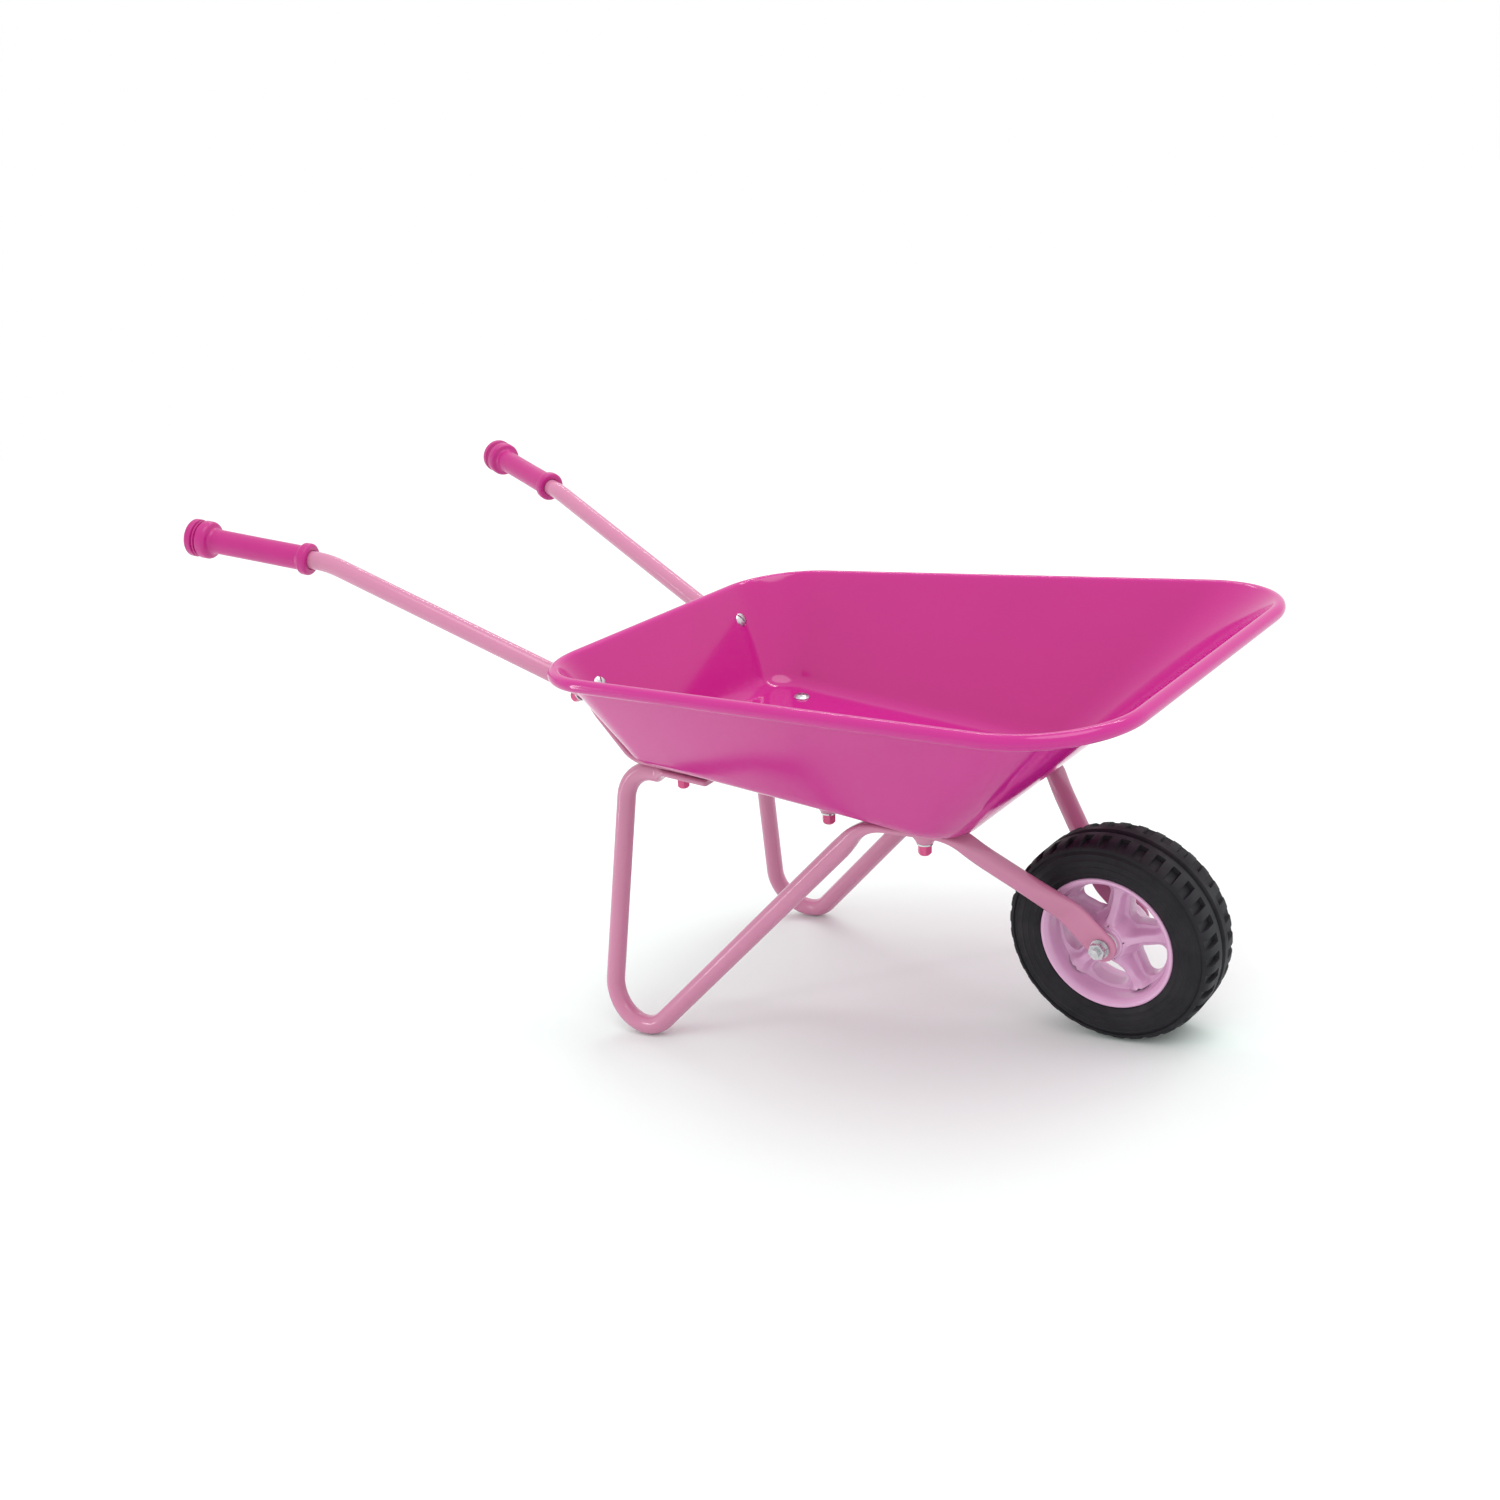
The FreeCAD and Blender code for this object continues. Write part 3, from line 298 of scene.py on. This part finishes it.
def rubber(name):
    """Matte black tyre rubber with dusty bloom and a fine skin."""
    material, tree, bsdf = shader(name, (0.009, 0.008, 0.011), 0.58, Specular_IOR_Level=0.3)
    dark, light = (0.006, 0.0055, 0.008), (0.013, 0.012, 0.016)
    tree.links.new(tint(tree, noise(tree, 40.0, 5.0), dark, light), bsdf.inputs["Base Color"])
    tree.links.new(spread(tree, noise(tree, 70.0), 0.5, 0.74), bsdf.inputs["Roughness"])
    tree.links.new(bump(tree, noise(tree, 900.0), 0.25, SKIN_DEPTH), bsdf.inputs["Normal"])
    return material


tray_paint = enamel("tray_enamel", (0.505, 0.010, 0.225), 0.11)
tube_paint = enamel("tube_enamel", (0.55, 0.205, 0.335), 0.12)
grip_plastic = plastic("grip_plastic", (0.45, 0.007, 0.185), 0.34)
cap_plastic = plastic("cap_plastic", (0.62, 0.07, 0.22), 0.26)
zinc_steel = zinc("zinc_steel")
rim_plastic = plastic("rim_plastic", (0.69, 0.40, 0.60), 0.16)
tyre_rubber = rubber("tyre_rubber")
bush_plastic = plastic("bush_nylon", (0.78, 0.78, 0.74), 0.45)
MATERIALS = {
    "tray_paint": tray_paint, "tube_paint": tube_paint, "grip_plastic": grip_plastic,
    "cap_plastic": cap_plastic, "zinc_steel": zinc_steel, "rim_plastic": rim_plastic,
    "tyre_rubber": tyre_rubber, "bush_plastic": bush_plastic,
}
for entry in frame["record"]["subparts"]:
    cad = nodes[entry["node"]]
    cad.data.materials.clear()
    cad.data.materials.append(MATERIALS[entry["material_slot"]])


# ------------------------------------------------------------------ tray
def floor_under(x):
    """Height of the underside of the sloping tray floor."""
    return FLOOR_HEIGHT - FLOOR_FALL * x


def tray_ring(rear, front, rear_half, front_half, rear_corner, front_corner):
    """Closed rounded trapezium between a rear and a front edge given as (x, z)."""
    corners = [Vector((rear[0], -rear_half, rear[1])), Vector((front[0], -front_half, front[1])),
               Vector((front[0], front_half, front[1])), Vector((rear[0], rear_half, rear[1]))]
    radii = [rear_corner, front_corner, front_corner, rear_corner]
    straight = [30, 20, 30, 20]
    arcs = [corner_arc(corners[k - 1], corners[k], corners[(k + 1) % 4], radii[k], ARC_STEPS)
            for k in range(4)]
    ring = []
    for k in range(4):
        ring.extend(arcs[k])
        start, end = arcs[k][-1], arcs[(k + 1) % 4][0]
        for i in range(1, straight[k]):
            ring.append(start.lerp(end, i / straight[k]))
    return ring


def wall_lean(run, top_height, floor_x):
    """Angle at which the pan fillet ends, so that the wall runs straight to its top edge."""
    rise = top_height - floor_under(floor_x) - PAN_FILLET
    return math.atan2(rise, run) + math.asin(PAN_FILLET / math.hypot(run, rise))


REAR_TOP, FRONT_TOP = RIM_REAR[1] - BEAD_DROP_REAR, RIM_FRONT[1] - BEAD_DROP_FRONT
REAR_TURN = wall_lean(FLOOR_REAR - RIM_REAR[0] - BEAD_INSET_REAR, REAR_TOP, FLOOR_REAR)
FRONT_TURN = wall_lean(RIM_FRONT[0] - BEAD_INSET - FLOOR_FRONT, FRONT_TOP, FLOOR_FRONT)
SIDE_TURN_REAR = wall_lean(RIM_REAR_HALF - BEAD_INSET - FLOOR_REAR_HALF, REAR_TOP, FLOOR_REAR)
SIDE_TURN_FRONT = wall_lean(RIM_FRONT_HALF - BEAD_INSET - FLOOR_FRONT_HALF, FRONT_TOP, FLOOR_FRONT)


def pan_ring(part, offset):
    """Ring on the pan fillet; part runs from 0 at the floor to 1 at the wall."""
    roll = PAN_FILLET - offset
    rear_x = FLOOR_REAR - roll * math.sin(REAR_TURN * part)
    front_x = FLOOR_FRONT + roll * math.sin(FRONT_TURN * part)
    rear_z = floor_under(rear_x) + PAN_FILLET - roll * math.cos(REAR_TURN * part)
    front_z = floor_under(front_x) + PAN_FILLET - roll * math.cos(FRONT_TURN * part)
    rear_out = roll * math.sin(SIDE_TURN_REAR * part)
    front_out = roll * math.sin(SIDE_TURN_FRONT * part)
    return tray_ring((rear_x, rear_z), (front_x, front_z), FLOOR_REAR_HALF + rear_out,
                     FLOOR_FRONT_HALF + front_out, FLOOR_REAR_CORNER + rear_out,
                     FLOOR_FRONT_CORNER + front_out)


def build_tray():
    """Closed shell: inner floor and wall, round the hollow bead, down the outer wall and floor."""
    fillet_steps, wall_steps, roll_steps = 8, 16, 26
    rim = tray_ring(RIM_REAR, RIM_FRONT, RIM_REAR_HALF, RIM_FRONT_HALF,
                    RIM_REAR_CORNER, RIM_FRONT_CORNER)
    count = len(rim)
    inner_foot, outer_foot = pan_ring(1.0, GAUGE), pan_ring(1.0, 0.0)
    middle_x = (RIM_REAR[0] + RIM_FRONT[0]) / 2
    roll = []
    for i in range(count):
        along = (rim[(i + 1) % count] - rim[i - 1]).normalized()
        up = rim[i] - inner_foot[i]
        up = (up - along * up.dot(along)).normalized()
        out = up.cross(along)
        if out.dot(rim[i] - Vector((middle_x, 0.0, rim[i].z))) < 0:
            out = -out
        roll.append((rim[i], up, out))
    rings = [pan_ring(k / fillet_steps, GAUGE) for k in range(fillet_steps)]
    inner_top = [c - out * BEAD for c, up, out in roll]
    for k in range(wall_steps + 1):
        t = k / wall_steps
        rings.append([a.lerp(b, t) for a, b in zip(inner_foot, inner_top)])
    full_turn = 2 * math.pi - math.acos((BEAD - GAUGE) / BEAD)
    for k in range(1, roll_steps + 1):
        a = full_turn * k / roll_steps
        rings.append([c - out * BEAD * math.cos(a) + up * BEAD * math.sin(a)
                      for c, up, out in roll])
    outer_top = rings[-1]
    for k in range(1, wall_steps + 1):
        t = k / wall_steps
        rings.append([a.lerp(b, t) for a, b in zip(outer_top, outer_foot)])
    for k in range(fillet_steps - 1, -1, -1):
        rings.append(pan_ring(k / fillet_steps, 0.0))
    centre_x = (FLOOR_REAR + FLOOR_FRONT) / 2
    floors = []
    for edge in (rings[0], rings[-1]):
        centre = Vector((centre_x, 0.0, sum(p.z for p in edge) / count))
        floors.append([[centre + (p - centre) * scale for p in edge]
                       for scale in (0.93, 0.8, 0.6, 0.4, 0.2)])
    return loft(list(reversed(floors[0])) + rings + floors[1])


tray = new_object("tray_shell", *build_tray(), tray_paint, "frame", "tray")

# ------------------------------------------------------------------ bent tubes
PATH_STEP, TUBE_SEGMENTS, END_DEPTH, TINY = 2.2, 32, 1.2, 1e-9
FLAT_SHARPNESS = 3.0
HANDLE_START, HANDLE_STRAIGHT = 8.0, 120.0
FLATTEN_FROM, FLATTEN_TO = 7.0, 21.0
STRAP_X, TAB_X, SEAT_X = (-24.0, 200.0), (-36.0, 45.0), (150.0, 225.0)
LOWEST_TRIM = 140.0
EYE_STEPS, EYE_STEP_TURN = 10, 8.8


def bent_line(corners, radii):
    """Evenly spaced points along straight runs joined by arcs, and their whole length."""
    raw = [corners[0]]
    for k in range(1, len(corners) - 1):
        raw.extend(corner_arc(corners[k - 1], corners[k], corners[k + 1], radii[k - 1], ARC_STEPS))
    raw.append(corners[-1])
    lengths = [0.0]
    for a, b in zip(raw, raw[1:]):
        lengths.append(lengths[-1] + (b - a).length)
    count = int(lengths[-1] / PATH_STEP)
    points, k = [], 0
    for i in range(count + 1):
        target = lengths[-1] * i / count
        while k < len(raw) - 2 and lengths[k + 1] < target:
            k += 1
        span = max(lengths[k + 1] - lengths[k], TINY)
        points.append(raw[k].lerp(raw[k + 1], (target - lengths[k]) / span))
    return points, lengths[-1]


def widen(half, radius, wave):
    """One coordinate of a flattened section: a straight stretch between two round edges."""
    stretch = math.tanh(FLAT_SHARPNESS * wave) / math.tanh(FLAT_SHARPNESS)
    return (half - radius) * stretch + radius * wave


def sweep(points, length, stations, trim):
    """Tube rings. stations are (distance, half side, half up, lift), blended smoothly.
    trim moves each vertex after it is placed."""
    rings = []
    count = len(points)
    for i, point in enumerate(points):
        at = length * i / (count - 1)
        along = (points[min(i + 1, count - 1)] - points[max(i - 1, 0)]).normalized()
        side = (Vector((0, 1, 0)) - along * along.y).normalized()
        up = -side.cross(along)
        k = 0
        while k < len(stations) - 2 and stations[k + 1][0] < at:
            k += 1
        first, last = stations[k], stations[k + 1]
        t = smooth_step((at - first[0]) / max(last[0] - first[0], TINY))
        half_side, half_up, lift = [a + (b - a) * t for a, b in zip(first[1:], last[1:])]
        radius = min(half_side, half_up)
        ring = []
        for j in range(TUBE_SEGMENTS):
            a = 2 * math.pi * j / TUBE_SEGMENTS
            x, y = widen(half_side, radius, math.cos(a)), widen(half_up, radius, math.sin(a))
            ring.append(trim(point + side * x + up * (y + lift)))
        rings.append(ring)
    return rings


def nearest(points, length, target):
    """Distance along the points of the place nearest to a target."""
    best = min(range(len(points)), key=lambda i: (points[i] - Vector(target)).length)
    return length * best / (len(points) - 1)


def soft_end(edge, inside):
    """Two shrinking rings that soften a cut end; inside is the ring before the edge."""
    centre = sum(edge, Vector()) / len(edge)
    push = (centre - sum(inside, Vector()) / len(inside)).normalized()
    return [[centre + (p - centre) * scale + push * END_DEPTH * part for p in edge]
            for scale, part in ((0.93, 0.7), (0.78, 1.0))]


floor_slope = math.atan(FLOOR_FALL)
floor_normal = Vector((math.sin(floor_slope), 0.0, math.cos(floor_slope)))


def under_floor(low, high, depth):
    """Trim that keeps the vertices between two X limits below a plane under the floor."""
    base = Vector((0.0, 0.0, FLOOR_HEIGHT)) - floor_normal * depth

    def trim(vertex):
        over = (vertex - base).dot(floor_normal)
        if low < vertex.x < high and over > 0.0:
            return vertex - floor_normal * over
        return vertex
    return trim


def under_tray(x, y, depth):
    """Point straight below the underside of the tray floor."""
    return Vector((x, y, floor_under(x) - depth))


def cone_boss(place):
    """Pressed conical seat that hangs under a strap at a bolt."""
    sunk = 1.2
    top = under_tray(*place, 0.0) - floor_normal * (FLAT_THICK - sunk)
    profile = rounded([(AXIS_GAP, 0.0), (CONE_WIDE + 0.4, 0.0), (CONE_WIDE, 1.4),
                       (CONE_NARROW, CONE_DROP + sunk), (AXIS_GAP, CONE_DROP + sunk)],
                      [0.1, 1.6, 1.2], 4)
    return lathe(profile, top, -floor_normal, 40)


grip_line = (GRIP_COLLAR - GRIP_END).normalized()
# half side, half up and lift of each section
round_tube = (TUBE, TUBE, 0.0)
strap = (FLAT_WIDE / 2, FLAT_THICK / 2, 0.0)
tab = (FLAT_WIDE / 2, TAB_HALF_THICK, TAB_LIFT)
seat = (SEAT_HALF_WIDE, FLAT_THICK / 2, SEAT_LIFT)
eye = (EYE_HALF_THICK, EYE_HALF_WIDE, 0.0)

handle_corners = [
    GRIP_END + grip_line * HANDLE_START, GRIP_END + grip_line * HANDLE_STRAIGHT,
    Vector((-60.6, 83.8, 259.6)), under_tray(-33.3, 75.5, FLAT_THICK / 2),
    under_tray(137.0, 65.0, FLAT_THICK / 2),
]
handle_points, handle_length = bent_line(handle_corners, [88.0, 22.0, 17.0])
wall_run = nearest(handle_points, handle_length, WALL_BOLT)
handle_rings = sweep(handle_points, handle_length, [
    (0.0, *round_tube), (wall_run + FLATTEN_FROM, *round_tube), (wall_run + FLATTEN_TO, *strap),
    (handle_length, *strap)], under_floor(*STRAP_X, TRIM_GAP))
handle_rings += soft_end(handle_rings[-1], handle_rings[-2])
handle_left = join([loft(handle_rings), cone_boss(MIDDLE_BOLT)])

tab_depth = FLAT_THICK + TUBE + 2 * TRIM_GAP
leg_corners = [
    under_tray(27.0, 73.4, tab_depth), under_tray(-44.5, 77.6, tab_depth),
    Vector((-97.0, 116.0, -37.5)), under_tray(158.5, 82.5, SEAT_DROP),
    under_tray(214.0, 68.0, SEAT_DROP), Vector((265.0, EYE_Y, 92.0)),
    Vector((AXLE.x, EYE_Y, AXLE.z)),
]
leg_points, leg_length = bent_line(leg_corners, [24.0, 28.4, 34.0, 28.0, 24.0])


def on_leg(x, y, z):
    """Distance along the leg of the place nearest to a point."""
    return nearest(leg_points, leg_length, (x, y, z))


tab_trim = under_floor(*TAB_X, FLAT_THICK + 2 * TRIM_GAP)
seat_trim = under_floor(*SEAT_X, TRIM_GAP)


def leg_trim(vertex):
    """Keeps the tab and the seat clear of what they lie against; the rest of the leg stays."""
    return vertex if vertex.z < LOWEST_TRIM else seat_trim(tab_trim(vertex))


leg_rings = sweep(leg_points, leg_length, [
    (0.0, *tab), (on_leg(-7.0, 75.0, 192.0), *tab),
    (on_leg(-18.0, 76.0, 194.0), *round_tube), (on_leg(136.0, 84.0, 152.0), *round_tube),
    (on_leg(176.0, 79.0, 165.0), *seat), (on_leg(206.0, 70.0, 160.0), *seat),
    (on_leg(228.0, 55.0, 139.0), *round_tube), (on_leg(242.0, 43.0, 122.0), *round_tube),
    (on_leg(274.0, EYE_Y, 82.0), *eye), (leg_length, *eye)], leg_trim)
leg_rings = list(reversed(soft_end(leg_rings[0], leg_rings[1]))) + leg_rings
eye_along = (leg_points[-1] - leg_points[-2]).normalized()
across = Vector((0, 1, 0)).cross(eye_along)
last_ring, eye_centre = leg_rings[-1], leg_points[-1]
for step in range(1, EYE_STEPS + 1):
    turn = math.radians(step * EYE_STEP_TURN)
    inward, forward = 1 - math.cos(turn), EYE_HALF_WIDE * math.sin(turn)
    leg_rings.append([p - across * (p - eye_centre).dot(across) * inward + eye_along * forward
                      for p in last_ring])
leg_left = join([loft(leg_rings), cone_boss(FRONT_BOLT)])

for name, part in (("handle_tube", handle_left), ("leg_fork_tube", leg_left)):
    for side, shape in (("left", part), ("right", mirror(part))):
        piece = new_object("%s_%s_bent" % (name, side), *shape, tube_paint, "frame",
                           "%s_%s" % (name, side))

# ------------------------------------------------------------------ grips
grip_profile = rounded([
    (AXIS_GAP, 0.6), (9.0, 0.25), (13.2, 0.0), (14.5, 1.4), (14.5, 5.6), (12.7, 6.3), (12.7, 7.2),
    (14.1, 7.5), (14.1, 8.5), (12.7, 8.8), (12.7, 9.7), (14.5, 10.4), (14.5, 15.8), (13.6, 17.8),
    (10.2, 19.0), (9.5, 21.0), (9.4, 60.0), (9.5, 95.0), (10.0, 97.0), (12.2, 98.2), (12.2, 103.4),
    (10.6, 105.0), (7.6, 105.0), (7.05, 104.4), (7.05, 92.0), (AXIS_GAP, 92.0)],
    [3.0, 1.0, 1.6, 0.7, 0.5, 0.5, 0.4, 0.4, 0.5, 0.5, 0.7, 2.4, 2.4, 2.0, 2.0, 20.0, 1.5, 1.2, 1.8,
     1.8, 1.6, 0.6, 0.3, 0.2], 4)
grip_left = lathe(grip_profile, GRIP_END, grip_line, 72)
for side, shape in (("left", grip_left), ("right", mirror(grip_left))):
    piece = new_object("grip_%s_moulded" % side, *shape, grip_plastic, "frame", "grip_" + side)

# ------------------------------------------------------------------ tyre
# (radius, distance from the middle plane) from the bead seat out to the middle groove
TYRE_SIDE = [
    (42.2, 16.4), (45.2, 17.8), (45.7, 21.2), (46.8, 22.2), (48.6, 22.6), (49.0, 22.95),
    (49.6, 22.95), (50.0, 22.65), (53.0, 22.75), (53.3, 23.0), (53.8, 23.0), (54.1, 22.75),
    (57.2, 22.7), (57.5, 22.95), (58.0, 22.95), (58.3, 22.65), (61.6, 22.2), (61.9, 22.4),
    (62.4, 22.4), (62.7, 22.0), (64.3, 21.2), (64.7, 21.9), (66.0, 21.7), (67.2, 20.9),
    (68.3, 19.4), (69.1, 17.4), (69.6, 15.0), (69.85, 12.0), (69.95, 9.4), (70.0, 8.2),
    (70.0, 7.4), (70.0, 5.0), (70.0, 2.9), (69.5, 2.3), (67.9, 1.7), (67.8, 0.8),
]
LUG_PITCH, GAP_HALF, GAP_EDGE, GAP_FLOOR = 10.0, 2.2, 2.6, 66.9
GAP_INNER, GAP_INNER_RUN = 7.4, 0.8
SKEW, SKEW_CENTRE, SKEW_FROM = 0.05, 15.0, 7.0
LUG_ANGLES = (0.0, 2.2, 2.4, 2.6, 2.8, 5.0, 7.2, 7.4, 7.6, 7.8)


def tyre_surface():
    """Tread and walls as one grid: rows of lugs on both shoulders, half a pitch apart."""
    profile = TYRE_SIDE + [(r, -y) for r, y in reversed(TYRE_SIDE)]
    angles = [k * LUG_PITCH + a for k in range(round(360.0 / LUG_PITCH)) for a in LUG_ANGLES]
    rings = []
    for radius, y in profile:
        shift = 0.0 if y > 0 else LUG_PITCH / 2
        skew = SKEW * (max(abs(y), SKEW_FROM) - SKEW_CENTRE) * (1 if y > 0 else -1)
        open_in = min(max((abs(y) - GAP_INNER) / GAP_INNER_RUN, 0.0), 1.0)
        ring = []
        for angle in angles:
            off = abs((angle - shift + LUG_PITCH / 2) % LUG_PITCH - LUG_PITCH / 2)
            open_side = 1.0 - min(max((off - GAP_HALF) / (GAP_EDGE - GAP_HALF), 0.0), 1.0)
            r = radius - max(radius - GAP_FLOOR, 0.0) * open_side * open_in
            a = math.radians(angle + skew)
            ring.append(AXLE + Vector((r * math.cos(a), y, r * math.sin(a))))
        rings.append(ring)
    count = len(angles)
    verts = [p for ring in rings for p in ring]
    faces = []
    for k in range(len(rings)):
        bridge(k * count, ((k + 1) % len(rings)) * count, count, faces)
    return verts, faces


tyre = new_object("tyre_treaded", *tyre_surface(), tyre_rubber, "wheel", "tyre")
tyre.data.set_sharp_from_angle(angle=math.radians(38.0))

# ------------------------------------------------------------------ wheel rim
SPOKES, FIRST_SPOKE, HUB, DISH, WEB = 5, 4.0, 11.5, 38.5, 5.0
HALF_SECTOR = 180.0 / SPOKES
WINDOW_RADIUS, WINDOW_OUTWARD, WINDOW_INWARD = 27.2, 9.4, 9.8
WINDOW_HALF, WINDOW_WIDEN, WINDOW_POWER = 14.5, 9.5, 2.0 / 3.0
SPOKE_HALF, SPOKE_FLARE, SPOKE_FLANK = 5.0, 4.0, 0.62
CREST, CREST_FALL, CREST_DIP = 17.5, 6.5, 2.0
HUB_RISE, HUB_SWELL, DISH_LIP = 14.0, 0.8, 2.0
EDGE_DROP, EASE = 0.9, 1.2
WELD_DISTANCE = 0.00002


def rim_height(radius, off):
    """Height of the rim's near face above its middle plane, off degrees away from a spoke."""
    across = abs(radius * math.sin(math.radians(off)))
    width = (SPOKE_HALF + SPOKE_FLARE * rise(radius, 29.0, 10.0)
             + SPOKE_FLARE * fall(radius, 18.0, 7.0))
    crest = CREST - CREST_FALL * rise(radius, 11.0, 16.0) - CREST_DIP * rise(radius, 26.0, 12.0)
    ridge = fall(across, width, width * SPOKE_FLANK)
    hub = fall(radius, 17.5, 6.0)
    height = WEB + (crest - WEB) * ridge
    height = max(height, WEB + HUB_RISE * hub) + HUB_SWELL * min(ridge, hub)
    return height + DISH_LIP * rise(radius, 35.0, 3.5)


def window_point(turn):
    """(radius, angle) on a window's outline; turn runs round it."""
    c, s = math.cos(turn), math.sin(turn)
    reach_out = WINDOW_OUTWARD if c > 0 else WINDOW_INWARD
    radius = WINDOW_RADIUS + reach_out * math.copysign(abs(c) ** WINDOW_POWER, c)
    half = WINDOW_HALF + WINDOW_WIDEN * rise(radius, 17.0, 16.0)
    return radius, half * math.copysign(abs(s) ** WINDOW_POWER, s)


def border_point(turn):
    """(radius, angle) where the same turn meets the edge of the window's sector."""
    c, s = math.cos(turn), math.sin(turn)
    big = max(abs(c), abs(s))
    reach_out = DISH - WINDOW_RADIUS if c > 0 else WINDOW_RADIUS - HUB
    return WINDOW_RADIUS + reach_out * c / big, HALF_SECTOR * s / big


def sector_grid(middle, around=72, rows=16):
    """Rows of (radius, angle, height) from a window's middle plane out to the sector's border."""
    grid = []
    for row in range(-1, rows + 1):
        part = (max(row, 0) / rows) ** EASE
        line = []
        for k in range(around):
            turn = 2 * math.pi * (k + 0.5) / around
            (r0, a0), (r1, a1) = window_point(turn), border_point(turn)
            radius, angle = r0 + (r1 - r0) * part, a0 + (a1 - a0) * part
            height = rim_height(radius, HALF_SECTOR - abs(angle))
            if row == -1:
                height = 0.0
            elif row == 0:
                height -= EDGE_DROP
            line.append((radius, middle + angle, height))
        grid.append(line)
    return grid


def border_angles(grids, border_radius):
    """Sorted angles of the sectors' outermost points that lie on one border circle."""
    return sorted({round(angle, 5) for grid in grids for radius, angle, height in grid[-1]
                   if abs(radius - border_radius) < 1e-6})


def build_rim():
    """Five window sectors, the dish wall with its tyre seat, and the hub, mirrored about y = 0."""
    grids = [sector_grid(FIRST_SPOKE + HALF_SECTOR * (1 + 2 * sector)) for sector in range(SPOKES)]
    seat_profile = rounded([
        (DISH, rim_height(DISH, HALF_SECTOR)), (39.4, 10.0), (40.3, 18.6), (43.2, 21.4),
        (44.6, 21.5), (45.3, 20.8), (45.3, 18.9), (42.3, 17.0), (42.0, 0.0)],
        [3.0, 8.0, 1.6, 0.5, 0.4, 0.3, 0.3], 5)
    hub_profile = rounded([
        (HUB, rim_height(HUB, HALF_SECTOR)), (11.2, 20.2), (10.6, 21.0), (6.0, 21.0), (6.0, 0.0)],
        [0.6, 0.5, 0.2], 4)
    for border_radius, profile in ((DISH, seat_profile), (HUB, hub_profile)):
        angles = border_angles(grids[:SPOKES], border_radius)
        grids.append([[(radius, angle, height) for angle in angles] for radius, height in profile])
    verts, faces = [], []
    for grid in grids:
        count = len(grid[0])
        for side in (1, -1):
            base = len(verts)
            for radius, angle, height in (point for line in grid for point in line):
                a = math.radians(angle)
                offset = Vector((radius * math.cos(a), height * side, radius * math.sin(a)))
                verts.append(AXLE + offset)
            for k in range(len(grid) - 1):
                bridge(base + k * count, base + (k + 1) * count, count, faces)
    return verts, faces


rim = new_object("wheel_rim_moulded", *build_rim(), rim_plastic, "wheel", "wheel_rim")
close_mesh(rim.data, WELD_DISTANCE)
rim.data.set_sharp_from_angle(angle=math.radians(50.0))

# ------------------------------------------------------------------ camera, light and floor
CAMERA_PLACE = (0.7291, -0.8580, 0.5043)
CAMERA_AZIMUTH, CAMERA_ELEVATION, CAMERA_TILT = 41.0, 15.8, -11.4
FLOOR_REACH = 60.0
AIM = (0.05, 0.0, 0.2)
SUN_DIRECTION = (-0.45, 0.05, -1.0)
camera_data = bpy.data.cameras.new("camera")
camera = bpy.data.objects.new("camera", camera_data)
bpy.context.scene.collection.objects.link(camera)
bpy.context.scene.camera = camera
azimuth, elevation = math.radians(CAMERA_AZIMUTH), math.radians(CAMERA_ELEVATION)
tilt = math.radians(CAMERA_TILT)
back = Vector((math.sin(azimuth) * math.cos(elevation), -math.cos(azimuth) * math.cos(elevation),
               math.sin(elevation)))
right = Vector((math.cos(azimuth), math.sin(azimuth), 0.0))
above = back.cross(right)
turned_right = right * math.cos(tilt) + above * math.sin(tilt)
turned_above = above * math.cos(tilt) - right * math.sin(tilt)
turned = Matrix((turned_right, turned_above, back)).transposed()
camera.matrix_world = Matrix.Translation(CAMERA_PLACE) @ turned.to_4x4()
camera_data.sensor_width = 36.0
camera_data.lens = 37.69
camera_data.shift_x = 0.0149
camera_data.shift_y = 0.0035
camera_data.clip_start = 0.02
camera_data.clip_end = 200.0

floor_material = shader("studio_floor", (0.82, 0.90, 0.865), 0.8)[0]
floor_mesh = bpy.data.meshes.new("studio_floor")
floor_mesh.from_pydata([(-FLOOR_REACH, -FLOOR_REACH, 0), (FLOOR_REACH, -FLOOR_REACH, 0),
                        (FLOOR_REACH, FLOOR_REACH, 0), (-FLOOR_REACH, FLOOR_REACH, 0)],
                       [], [(0, 1, 2, 3)])
floor_mesh.materials.append(floor_material)
studio_floor = bpy.data.objects.new("studio_floor", floor_mesh)
bpy.context.scene.collection.objects.link(studio_floor)


def softbox(name, place, wide, high, power):
    """White rectangular area light aimed at the middle of the object."""
    data = bpy.data.lights.new(name, "AREA")
    data.shape = "RECTANGLE"
    data.size, data.size_y = wide, high
    data.energy = power
    obj = bpy.data.objects.new(name, data)
    obj.location = place
    obj.rotation_mode = "QUATERNION"
    obj.rotation_quaternion = (Vector(AIM) - Vector(place)).to_track_quat("-Z", "Y")
    bpy.context.scene.collection.objects.link(obj)


world = bpy.data.worlds.new("studio")
bpy.context.scene.world = world
world.use_nodes = True
background = world.node_tree.nodes["Background"]
background.inputs["Color"].default_value = (1.0, 1.0, 1.0, 1)
background.inputs["Strength"].default_value = 1.0
sun_data = bpy.data.lights.new("sky_panel", "SUN")
sun_data.energy = 1.1
sun_data.angle = math.radians(45.0)
sun_data.specular_factor = 0.0
sun = bpy.data.objects.new("sky_panel", sun_data)
sun.rotation_mode = "QUATERNION"
sun.rotation_quaternion = Vector(SUN_DIRECTION).to_track_quat("-Z", "Y")
bpy.context.scene.collection.objects.link(sun)
softbox("long_strip", (0.0, 1.3, 1.9), 2.4, 0.05, 8.0)
softbox("tall_strip", (-1.5, -1.3, 0.55), 0.05, 1.1, 4.5)
bpy.context.scene.view_settings.view_transform = "Standard"
